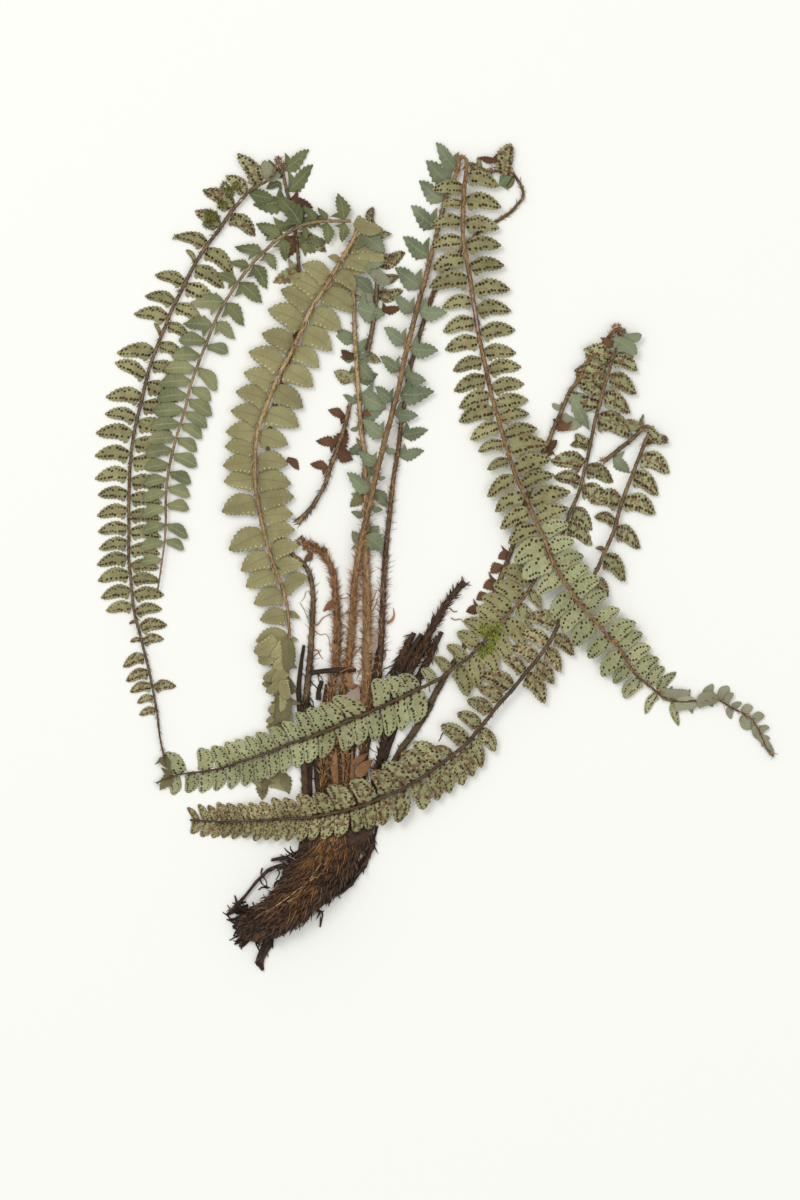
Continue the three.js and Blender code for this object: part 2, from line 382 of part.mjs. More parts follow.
// Roots and wiry old stipes that grow from the rhizome, given as stems are.
const ROOTS = [
  [[308, 822, 0.2, 4.4], [304, 838, 0.2, 4.6], [303, 852, 0.2, 4.0]],
  [[300, 864, 1.4, 1.8], [286, 858, 1.0, 1.6], [272, 860, 0.6, 1.0]],
  [
    [296, 872, 2.2, 1.8], [281, 865, 1.8, 1.5], [267, 871, 1.4, 1.5], [257, 881, 1.0, 1.5],
    [250, 891, 0.8, 1.6], [240, 903, 0.5, 1.8], [227, 915, 0.2, 1.6],
  ],
  [
    [256, 926, 0.8, 3.4], [270, 938, 0.4, 3.0], [268, 948, 0.3, 2.6], [261, 958, 0.2, 2.4],
    [263, 969, 0.1, 1.4],
  ],
  [[250, 930, 0.4, 1.8], [243, 942, 0.2, 1.6], [240, 947, 0.1, 1.2]],
  [[250, 916, 0.6, 1.6], [239, 920, 0.3, 1.3], [234, 928, 0.1, 1.0]],
  [[254, 912, 1.0, 1.6], [243, 909, 0.5, 1.4], [236, 906, 0.3, 1.0]],
  [
    [366, 822, 0.2, 2.0], [373, 838, 0.2, 2.0], [369, 856, 0.4, 1.9], [360, 872, 0.6, 1.8],
    [350, 884, 0.6, 1.8], [336, 892, 0.6, 1.8], [324, 900, 0.6, 2.2],
  ],
  [[312, 900, 0.8, 1.6], [320, 912, 0.4, 1.0], [320, 927, 0.1, 0.7]],
  [[288, 916, 0.8, 1.6], [300, 920, 0.4, 1.2], [308, 917, 0.2, 0.8]],
];

function planToModel(x, y) {
  return new THREE.Vector2((x - PLAN_MIDDLE.x) * PLAN_UNIT, (PLAN_MIDDLE.y - y) * PLAN_UNIT);
}

function geometryFrom(positions, triangles) {
  const geometry = new THREE.BufferGeometry();
  geometry.setAttribute('position', new THREE.Float32BufferAttribute(positions, 3));
  geometry.setIndex(triangles);
  geometry.computeVertexNormals();
  return geometry;
}

// The course of a stem: points a millimetre apart on a smooth curve, each with its station, width and heading.
function layCourse(points) {
  const knots = points.map(([x, y, height]) => {
    const place = planToModel(x, y);
    return new THREE.Vector3(place.x, place.y, height);
  });
  const curve = new THREE.CatmullRomCurve3(knots, false, 'centripetal');
  curve.arcLengthDivisions = points.length * 30;
  const count = Math.ceil(curve.getLength() / COURSE_STEP);
  const course = [];
  for (let i = 0; i <= count; i += 1) {
    const t = curve.getUtoTmapping(i / count);
    const knot = Math.min(Math.floor(t * (points.length - 1)), points.length - 2);
    const share = t * (points.length - 1) - knot;
    const width = THREE.MathUtils.lerp(points[knot][3], points[knot + 1][3], share);
    course.push({ place: curve.getPoint(t), width });
  }
  let station = 0;
  course.forEach((sample, i) => {
    const before = course[Math.max(i - 1, 0)].place;
    const after = course[Math.min(i + 1, count)].place;
    sample.heading = new THREE.Vector2(after.x - before.x, after.y - before.y).normalize();
    if (i > 0) {
      station += Math.hypot(sample.place.x - before.x, sample.place.y - before.y);
    }
    sample.station = station;
  });
  return course;
}

// The sample of a course at any station, read between its neighbours.
function sampleAt(course, station) {
  const last = course.length - 1;
  let i = course.findIndex((sample) => sample.station >= station);
  if (i < 0) {
    i = last;
  }
  i = THREE.MathUtils.clamp(i, 1, last);
  const [a, b] = [course[i - 1], course[i]];
  const share = THREE.MathUtils.clamp((station - a.station) / (b.station - a.station), 0, 1);
  return {
    station,
    place: a.place.clone().lerp(b.place, share),
    heading: a.heading.clone().lerp(b.heading, share).normalize(),
    width: THREE.MathUtils.lerp(a.width, b.width, share),
  };
}

// The sample nearest to a plan place, between two stations.
function nearestSample(course, place, first = -Infinity, last = Infinity) {
  let best = null;
  for (const sample of course) {
    const distance = Math.hypot(sample.place.x - place.x, sample.place.y - place.y);
    const allowed = sample.station >= first && sample.station <= last;
    if (allowed && (best === null || distance < best.distance)) {
      best = { sample, distance };
    }
  }
  return best.sample;
}

// A stem: one ring of the section wherever the course has run or turned far enough.
function stemGeometry(course) {
  const rings = [course[0]];
  for (const sample of course.slice(1, -1)) {
    const previous = rings[rings.length - 1];
    const turned = Math.acos(THREE.MathUtils.clamp(previous.heading.dot(sample.heading), -1, 1));
    if (turned > RING_TURN || sample.station - previous.station > RING_STEP) {
      rings.push(sample);
    }
  }
  rings.push(course[course.length - 1]);

  const sides = STEM_SECTION.length;
  const positions = [];
  const triangles = [];
  rings.forEach(({ place, heading, width }) => {
    const height = STEM_BASE_HEIGHT + STEM_HEIGHT_PER_WIDTH * width;
    for (const [across, up] of STEM_SECTION) {
      positions.push(
        place.x + heading.y * across * width,
        place.y - heading.x * across * width,
        place.z + up * height,
      );
    }
  });
  for (let ring = 0; ring < rings.length - 1; ring += 1) {
    for (let side = 0; side < sides; side += 1) {
      const next = (side + 1) % sides;
      const [a, b] = [ring * sides + side, ring * sides + next];
      const [c, d] = [a + sides, b + sides];
      triangles.push(a, c, d, a, d, b);
    }
  }
  const end = (rings.length - 1) * sides;
  for (let side = 1; side < sides - 1; side += 1) {
    triangles.push(0, side, side + 1);
    triangles.push(end, end + side + 1, end + side);
  }
  return geometryFrom(positions, triangles);
}

// Keeps the feet of one side's leaflets apart and inside the blade.
function spreadStations(row, first, last) {
  row.forEach((leaflet, i) => {
    const least = i === 0 ? first : row[i - 1].station + LEAST_PITCH;
    leaflet.station = Math.max(leaflet.station, least);
  });
  for (let i = row.length - 1; i >= 0; i -= 1) {
    const most = i === row.length - 1 ? last : row[i + 1].station - LEAST_PITCH;
    row[i].station = Math.min(row[i].station, most);
  }
}

// Where each leaflet of a blade grows: its side of the midrib, its foot on the midrib, its tip and its breadth.
function placeLeaflets(blade, course) {
  const first = nearestSample(course, planToModel(...blade.from)).station;
  const last = nearestSample(course, planToModel(...blade.to), first).station;
  const sides = { left: [], right: [] };
  for (const [x, y, footX, footY] of blade.tips) {
    const tip = planToModel(x, y);
    const given = footX !== undefined;
    const near = nearestSample(course, given ? planToModel(footX, footY) : tip, first, last);
    const reach = new THREE.Vector2(tip.x - near.place.x, tip.y - near.place.y);
    const side = near.heading.cross(reach) > 0 ? 'left' : 'right';
    const lean = given ? 0 : blade.lean[side === 'left' ? 0 : 1];
    sides[side].push({ tip, station: near.station - lean * reach.length() });
  }
  for (const side of ['left', 'right']) {
    const row = sides[side].sort((a, b) => a.station - b.station);
    spreadStations(row, first + BLADE_END_MARGIN, last - BLADE_END_MARGIN);
    row.forEach((leaflet, i) => {
      const foot = sampleAt(course, leaflet.station);
      leaflet.length = Math.hypot(leaflet.tip.x - foot.place.x, leaflet.tip.y - foot.place.y);
      const room = [row[i - 1], row[i + 1]]
        .filter((neighbour) => neighbour !== undefined)
        .map((neighbour) => Math.abs(neighbour.station - leaflet.station));
      const pitch = Math.min(...room, Infinity);
      leaflet.breadth = Math.min(blade.broad, (pitch - LEAFLET_GAP) / (LEAFLET_SPAN * leaflet.length));
      const back = LEAFLET_FOOT.back * leaflet.length * leaflet.breadth;
      const fore = LEAFLET_FOOT.fore * leaflet.length * leaflet.breadth;
      leaflet.start = Math.max(leaflet.station - back, first + BLADE_END_MARGIN / 4);
      leaflet.end = Math.min(leaflet.station + fore, last - BLADE_END_MARGIN / 4);
    });
  }
  return { first, last, sides };
}

// A blade: a thin strip under the midrib with every leaflet growing from its edges, one solid of even thickness.
// Its top and its underside are split into the same triangles.
function bladeGeometry(blade, course) {
  const { first, last, sides } = placeLeaflets(blade, course);
  const top = [];
  const faces = [];

  const addPoint = (x, y, z) => {
    top.push([x, y, Math.max(z, LEAFLET_THICKNESS)]);
    return top.length - 1;
  };
  const edgePoint = (station, sign) => {
    const { place, heading } = sampleAt(course, station);
    const out = (sign * RIB_STRIP_WIDTH) / 2;
    return addPoint(place.x - heading.y * out, place.y + heading.x * out, place.z - MIDRIB_SEAT);
  };

  const edges = {};
  for (const [side, sign] of [['left', 1], ['right', -1]]) {
    const stations = [first, last];
    sides[side].forEach((leaflet) => stations.push(leaflet.start, leaflet.end));
    stations.sort((a, b) => a - b);
    const filled = [stations[0]];
    for (const station of stations.slice(1)) {
      const previous = filled[filled.length - 1];
      const pieces = Math.ceil((station - previous) / RING_STEP);
      for (let piece = 1; piece < pieces; piece += 1) {
        filled.push(previous + ((station - previous) * piece) / pieces);
      }
      filled.push(station);
    }
    edges[side] = filled.map((station) => ({ station, index: edgePoint(station, sign) }));

    for (const leaflet of sides[side]) {
      const near = (station) => edges[side].find((point) => Math.abs(point.station - station) < 1e-6).index;
      const [startIndex, endIndex] = [near(leaflet.start), near(leaflet.end)];
      const foot = sampleAt(course, leaflet.station);
      const root = new THREE.Vector2(
        foot.place.x - (foot.heading.y * sign * RIB_STRIP_WIDTH) / 2,
        foot.place.y + (foot.heading.x * sign * RIB_STRIP_WIDTH) / 2,
      );
      const reach = new THREE.Vector2(leaflet.tip.x - root.x, leaflet.tip.y - root.y);
      const forward = foot.heading.clone().multiplyScalar(reach.length() * leaflet.breadth);
      const ring = [startIndex];
      for (const [run, swing] of LEAFLET_OUTLINE) {
        const offset = reach.clone().multiplyScalar(run).addScaledVector(forward, swing);
        const ahead = THREE.MathUtils.clamp(
          leaflet.station + offset.dot(foot.heading),
          leaflet.start,
          leaflet.end,
        );
        const height = sampleAt(course, ahead).place.z - MIDRIB_SEAT;
        ring.push(addPoint(root.x + offset.x, root.y + offset.y, height));
      }
      ring.push(endIndex);
      const contour = ring.map((index) => new THREE.Vector2(top[index][0], top[index][1]));
      for (const [a, b, c] of THREE.ShapeUtils.triangulateShape(contour, [])) {
        faces.push([ring[a], ring[b], ring[c]]);
      }
    }
  }

  let [l, r] = [0, 0];
  while (l < edges.left.length - 1 || r < edges.right.length - 1) {
    const nextLeft = edges.left[l + 1]?.station ?? Infinity;
    const nextRight = edges.right[r + 1]?.station ?? Infinity;
    if (nextLeft < nextRight) {
      faces.push([edges.left[l].index, edges.right[r].index, edges.left[l + 1].index]);
      l += 1;
    } else {
      faces.push([edges.left[l].index, edges.right[r].index, edges.right[r + 1].index]);
      r += 1;
    }
  }

  const under = top.length;
  const positions = [...top.flat(), ...top.map(([x, y, z]) => [x, y, z - LEAFLET_THICKNESS]).flat()];
  const triangles = [];
  const rims = new Map();
  for (const [a, b, c] of faces) {
    triangles.push(a, b, c, under + a, under + c, under + b);
    for (const [from, to] of [[a, b], [b, c], [c, a]]) {
      if (!rims.delete(`${to} ${from}`)) {
        rims.set(`${from} ${to}`, [from, to]);
      }
    }
  }
  for (const [from, to] of rims.values()) {
    triangles.push(to, from, under + from, to, under + from, under + to);
  }
  return geometryFrom(positions, triangles);
}

// The rhizome's body: arched sections with a flat underside, their tops raised in rows of overlapping scales.
function rhizomeBody() {
  const sections = [];
  RHIZOME_SECTIONS.forEach((section, i) => {
    const next = RHIZOME_SECTIONS[i + 1];
    const steps = next ? RHIZOME_STEPS_BETWEEN : 1;
    for (let step = 0; step < steps; step += 1) {
      sections.push(section.map((value, k) => (next ? THREE.MathUtils.lerp(value, next[k], step / steps) : value)));
    }
  });
  const positions = [];
  const triangles = [];
  sections.forEach(([leftX, leftY, rightX, rightY, height], row) => {
    const left = planToModel(leftX, leftY);
    const right = planToModel(rightX, rightY);
    const middle = left.clone().add(right).multiplyScalar(0.5);
    const half = right.clone().sub(left).multiplyScalar(0.5);
    const relief = SCALE_RELIEF * THREE.MathUtils.smoothstep(height, SCALES_FADE_FROM, SCALES_FADE_TO);
    positions.push(middle.x, middle.y, 0);
    for (let i = 0; i < RHIZOME_ARCH_POINTS; i += 1) {
      const angle = Math.PI * (i / (RHIZOME_ARCH_POINTS - 1));
      const scale = 1 + relief * ((row + i) % 2 === 0 ? 1 : -1) * Math.sin(angle);
      const across = i === 0 || i === RHIZOME_ARCH_POINTS - 1 ? RHIZOME_FLAT_SHARE : 1;
      const spread = Math.sign(Math.cos(angle)) * Math.abs(Math.cos(angle)) ** RHIZOME_SIDE_FULLNESS;
      positions.push(
        middle.x + half.x * spread * across * scale,
        middle.y + half.y * spread * across * scale,
        height * Math.sin(angle) ** RHIZOME_TOP_FULLNESS * scale,
      );
    }
  });
  const around = RHIZOME_ARCH_POINTS + 1;
  for (let row = 0; row < sections.length - 1; row += 1) {
    for (let i = 0; i < around; i += 1) {
      const next = (i + 1) % around;
      const [a, b] = [row * around + i, row * around + next];
      const [c, d] = [a + around, b + around];
      triangles.push(a, b, d, a, d, c);
    }
  }
  const end = (sections.length - 1) * around;
  for (let i = 1; i < around - 1; i += 1) {
    triangles.push(0, i + 1, i);
    triangles.push(end, end + i, end + i + 1);
  }
  return geometryFrom(positions, triangles);
}

function toSolid(geometry) {
  const bare = geometry.clone();
  bare.deleteAttribute('normal');
  const merged = mergeVertices(bare, 1e-4);
  return new wasm.Manifold(new wasm.Mesh({
    numProp: 3,
    vertProperties: new Float32Array(merged.attributes.position.array),
    triVerts: new Uint32Array(merged.index.array),
  }));
}

function toGeometry(solid) {
  const mesh = solid.getMesh();
  return geometryFrom(Array.from(mesh.vertProperties), Array.from(mesh.triVerts));
}

// The rhizome with its roots and wiry old stipes sunk into it and joined.
function rhizomeGeometry() {
  let solid = toSolid(rhizomeBody());
  for (const root of ROOTS) {
    solid = solid.add(toSolid(stemGeometry(layCourse(root))));
  }
  return toGeometry(solid);
}

function namedMesh(name, geometry, colour) {
  const material = new THREE.MeshStandardMaterial({ color: COLOURS[colour], roughness: 0.85, metalness: 0 });
  const mesh = new THREE.Mesh(geometry, material);
  mesh.name = name;
  return mesh;
}

const fern = new THREE.Group();
fern.add(namedMesh('rhizome', rhizomeGeometry(), 'rhizome'));
for (const { name, points, colour } of STEMS) {
  fern.add(namedMesh(name, stemGeometry(layCourse(points)), colour));
}
for (const blade of LEAFLETS) {
  fern.add(namedMesh(blade.name, bladeGeometry(blade, layCourse(blade.stem)), blade.colour));
}

export default fern;
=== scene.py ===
# %% [markdown]
# # A pressed fern, dressed over its solids
# The object is a whole fern plant, pressed flat and dried. Its solids hold every frond, stipe and leaflet
# as plain thin shapes. This lesson puts finer pieces in their places: toothed leaflets with veins, the dots
# of the sori, scaly stipes, the shaggy rhizome with its roots, and tufts of moss.
# We start from the imported solids, because they say where everything is.

# %% Load the solids
import math
import random

import bpy
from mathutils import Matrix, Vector


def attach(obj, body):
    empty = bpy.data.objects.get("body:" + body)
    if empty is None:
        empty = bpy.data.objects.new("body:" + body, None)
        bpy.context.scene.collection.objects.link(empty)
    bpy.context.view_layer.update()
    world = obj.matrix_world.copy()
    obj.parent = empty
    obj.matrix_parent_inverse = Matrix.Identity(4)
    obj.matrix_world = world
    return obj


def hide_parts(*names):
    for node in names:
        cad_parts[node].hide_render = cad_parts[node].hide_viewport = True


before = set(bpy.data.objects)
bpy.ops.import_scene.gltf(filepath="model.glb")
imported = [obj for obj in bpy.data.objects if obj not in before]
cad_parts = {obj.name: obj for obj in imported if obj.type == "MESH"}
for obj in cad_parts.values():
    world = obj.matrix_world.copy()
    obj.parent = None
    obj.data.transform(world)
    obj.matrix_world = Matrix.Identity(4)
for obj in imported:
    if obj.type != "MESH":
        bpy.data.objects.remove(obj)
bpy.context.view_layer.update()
print("solids:", len(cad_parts), "nodes")

# %% [markdown]
# ## Looking straight down
# A pressed plant is photographed from above, so the camera hangs over it and looks down. A long lens from
# far away keeps the edges as flat as the middle. The lens could be guessed by eye. We work it out instead,
# from the height of the strip of table that the picture shows.

# %% Hang the camera over the plant
MM = 0.001
PICTURE_HEIGHT = 454.9 * MM
CAMERA_HEIGHT = 1800 * MM
CAMERA_PLACE = (-13.1 * MM, -16.9 * MM)
SENSOR = 36.0

camera_data = bpy.data.cameras.new("overhead_camera")
camera_data.sensor_fit = "VERTICAL"
camera_data.sensor_height = SENSOR
camera_data.lens = SENSOR * CAMERA_HEIGHT / PICTURE_HEIGHT
camera_data.clip_end = 20
camera = bpy.data.objects.new("overhead_camera", camera_data)
camera.location = (*CAMERA_PLACE, CAMERA_HEIGHT)
bpy.context.scene.collection.objects.link(camera)
bpy.context.scene.camera = camera
print("lens:", round(camera_data.lens, 1), "mm")

# %% [markdown]
# ## Wiring nodes
# Materials and Geometry Nodes are both trees of nodes. A tree is easier to read in code when one line makes
# one node, with its settings and with what is plugged into it. Calculations get even shorter: a value that
# comes out of a node can be added or multiplied here like a number, and each sum adds its Math node.

# %% Helpers that add nodes to a tree
class Value:
    """A number or a vector that comes out of a node, to calculate with."""

    def __init__(self, tree, socket):
        self.tree, self.socket = tree, socket

    def math(self, operation, *others):
        """What a Math node makes of it, or a Vector Math node of a vector."""
        return calculate(self.tree, self.socket.type == "VECTOR", operation, self, *others)

    def __add__(self, other):
        return self.math("ADD", other)

    def __sub__(self, other):
        return self.math("SUBTRACT", other)

    def __rsub__(self, other):
        return calculate(self.tree, False, "SUBTRACT", other, self)

    def __mul__(self, other):
        # A vector times a number is an operation of its own.
        if self.socket.type == "VECTOR" and other.socket.type == "VALUE":
            plugs = {"Vector": self, "Scale": other}
            node = add_node(self.tree, "ShaderNodeVectorMath", plugs, operation="SCALE")
            return Value(self.tree, node.outputs[0])
        return self.math("MULTIPLY", other)

    def step(self, low, high):
        """0 below low, 1 above high, and a smooth climb between."""
        plugs = {"Value": self, "From Min": low, "From Max": high}
        node = add_node(self.tree, "ShaderNodeMapRange", plugs, interpolation_type="SMOOTHSTEP")
        return Value(self.tree, node.outputs["Result"])


def calculate(tree, on_vectors, operation, *plugs):
    """The result of a Math node or a Vector Math node."""
    kind = "ShaderNodeVectorMath" if on_vectors else "ShaderNodeMath"
    return Value(tree, add_node(tree, kind, dict(enumerate(plugs)), operation=operation).outputs[0])


def add_node(tree, kind, plugs=None, **settings):
    """Adds a node. plugs maps an input's name or number to a number, a value, or a node's first output."""
    made = tree.nodes.new(kind)
    for name, setting in settings.items():
        setattr(made, name, setting)
    for key, plug in (plugs or {}).items():
        if isinstance(plug, Value):
            plug = plug.socket
        if isinstance(plug, bpy.types.Node):
            plug = plug.outputs[0]
        if isinstance(plug, bpy.types.NodeSocket):
            tree.links.new(plug, made.inputs[key])
        else:
            made.inputs[key].default_value = plug
    return made


print("wiring helpers ready")

# %% [markdown]
# ## Words for patterns and colours
# A few longer steps come back in every material: noise, a painted value, a mix of two colours, and the
# shader that takes them. Each gets a short helper of its own, so that a finish reads like a description.

# %% Helpers for vectors, noise and colours
def joined(tree, x=0.0, y=0.0, z=0.0):
    """A vector made of three numbers."""
    return Value(tree, add_node(tree, "ShaderNodeCombineXYZ", {"X": x, "Y": y, "Z": z}).outputs[0])


def split(tree, vector):
    """The three numbers of a vector."""
    return [Value(tree, part) for part in add_node(tree, "ShaderNodeSeparateXYZ", {"Vector": vector}).outputs]


def noise_at(tree, place, scale, detail, rough=0.5):
    """Noise at a place, about 0 to 1."""
    plugs = {"Vector": place, "Scale": scale, "Detail": detail, "Roughness": rough}
    return Value(tree, add_node(tree, "ShaderNodeTexNoise", plugs).outputs["Fac"])


def object_place(tree):
    """The Object coordinates."""
    return Value(tree, add_node(tree, "ShaderNodeTexCoord").outputs["Object"])


def object_noise(tree, scale, detail, rough=0.55):
    """Noise on Object coordinates."""
    return noise_at(tree, object_place(tree), scale, detail, rough)


def painted_on(tree, attribute, output="Fac"):
    """The value of a mesh's attribute, in a material."""
    node = add_node(tree, "ShaderNodeAttribute", attribute_name=attribute, attribute_type="GEOMETRY")
    return Value(tree, node.outputs[output])


def mix(tree, share, first, second, blend="MIX"):
    """A colour between two, by a share."""
    plugs = {"Factor": share, 6: first, 7: second}
    node = add_node(tree, "ShaderNodeMix", plugs, data_type="RGBA", blend_type=blend)
    return Value(tree, node.outputs[2])


def surface(material, colour, rough, shine, relief=None, strength=0.0, depth=0.0):
    """Joins a colour, and where there is one a relief, to a shader and the shader to the output."""
    tree = material.node_tree
    plugs = {"Base Color": colour, "Roughness": rough, "Specular IOR Level": shine}
    if relief:
        height = {"Height": relief, "Strength": strength, "Distance": depth}
        plugs["Normal"] = add_node(tree, "ShaderNodeBump", height)
    shader = add_node(tree, "ShaderNodeBsdfPrincipled", plugs)
    add_node(tree, "ShaderNodeOutputMaterial", {"Surface": shader})
    return material


def new_material(name):
    """A material and its empty tree."""
    material = bpy.data.materials.new(name)
    material.use_nodes = True
    material.node_tree.nodes.clear()
    return material, material.node_tree


def linear(red, green, blue):
    """A colour as seen on a screen, 0 to 255, turned into the numbers that a shader wants."""
    def one(value):
        value /= 255
        return value / 12.92 if value <= 0.04045 else ((value + 0.055) / 1.055) ** 2.4
    return (one(red), one(green), one(blue), 1)


print("helpers for patterns and colours ready")

# %% [markdown]
# ## Meshes that carry numbers
# A mesh can carry a number or a vector on each of its points, and a node tree reads them by name. That is how
# the width of a stalk or the root of a leaflet gets into a tree.

# %% Helpers for meshes
def new_piece(name, mesh):
    """An object for a mesh, in the scene."""
    piece = bpy.data.objects.new(name, mesh)
    bpy.context.scene.collection.objects.link(piece)
    return piece


def new_mesh(name, points, edges=(), faces=(), **attributes):
    """A mesh whose points carry numbers or vectors under the names given."""
    mesh = bpy.data.meshes.new(name)
    mesh.from_pydata(points, edges, faces)
    set_attributes(mesh, **attributes)
    return mesh


def set_attributes(mesh, **attributes):
    """Stores one number, or one vector, on every point of a mesh, for each name."""
    for name, values in attributes.items():
        of_vectors = hasattr(values[0], "__len__")
        attribute = mesh.attributes.new(name, "FLOAT_VECTOR" if of_vectors else "FLOAT", "POINT")
        for entry, value in zip(attribute.data, values):
            setattr(entry, "vector" if of_vectors else "value", value)


print("helpers for meshes ready")

# %% [markdown]
# ## Floor and light
# The plant lies on a plain pale floor. A herbarium picture has even light with faint, soft shadows. One big
# soft lamp overhead gives the shadows under the fronds, a weaker one fills them, and the sky lifts the rest.

# %% Lay the floor and set the lamps
FLOOR_REACH = 1.6
corners = [(x * FLOOR_REACH, y * FLOOR_REACH, 0) for x, y in ((-1, -1), (1, -1), (1, 1), (-1, 1))]
floor = new_piece("floor", new_mesh("floor", corners, faces=[(0, 1, 2, 3)]))
floor.location.z = -0.05 * MM
floor_material, _ = new_material("pale_floor")
floor.data.materials.append(surface(floor_material, linear(246, 246, 240), 0.9, 0.1))


def soft_lamp(name, place, size, watts):
    """A square soft lamp aimed at the middle of the plant."""
    lamp = bpy.data.lights.new(name, "AREA")
    lamp.size = size
    lamp.energy = watts
    holder = bpy.data.objects.new(name, lamp)
    holder.location = place
    holder.rotation_euler = (-Vector(place)).to_track_quat("-Z", "Y").to_euler()
    bpy.context.scene.collection.objects.link(holder)


soft_lamp("key_lamp", (-1.1, 1.1, 2.2), 1.2, 23)
soft_lamp("fill_lamp", (1.4, -0.8, 2.0), 1.6, 9)
world = bpy.data.worlds.new("studio")
world.use_nodes = True
sky = world.node_tree.nodes["Background"].inputs
sky["Color"].default_value = (1, 1, 1, 1)
sky["Strength"].default_value = 0.72
bpy.context.scene.world = world
bpy.context.scene.view_settings.view_transform = "Standard"
print("floor and lamps ready")

# %% [markdown]
# ## The plan of the plant
# Every stem was measured on a plan, with x to the right and y down, together with the height of its
# underside and its width in millimetres. Every leaflet was measured by its tip. The solids were made from
# the same lists, so the fine pieces made from them lie where the solids are.

# %% The stems and the leaflets as measured
PLAN_UNIT = 0.3791 * MM
PLAN_MIDDLE = (434.5, 555.5)


def table(text):
    """Rows of numbers: spaces part the rows, commas the numbers of a row."""
    return [[float(number) for number in row.split(",")] for row in text.split()]


def stem_table(text):
    """A stem's points. What a point leaves out at its end is as at the point before."""
    points = []
    for row in table(text):
        points.append(row + (points[-1][len(row):] if points else []))
    return points


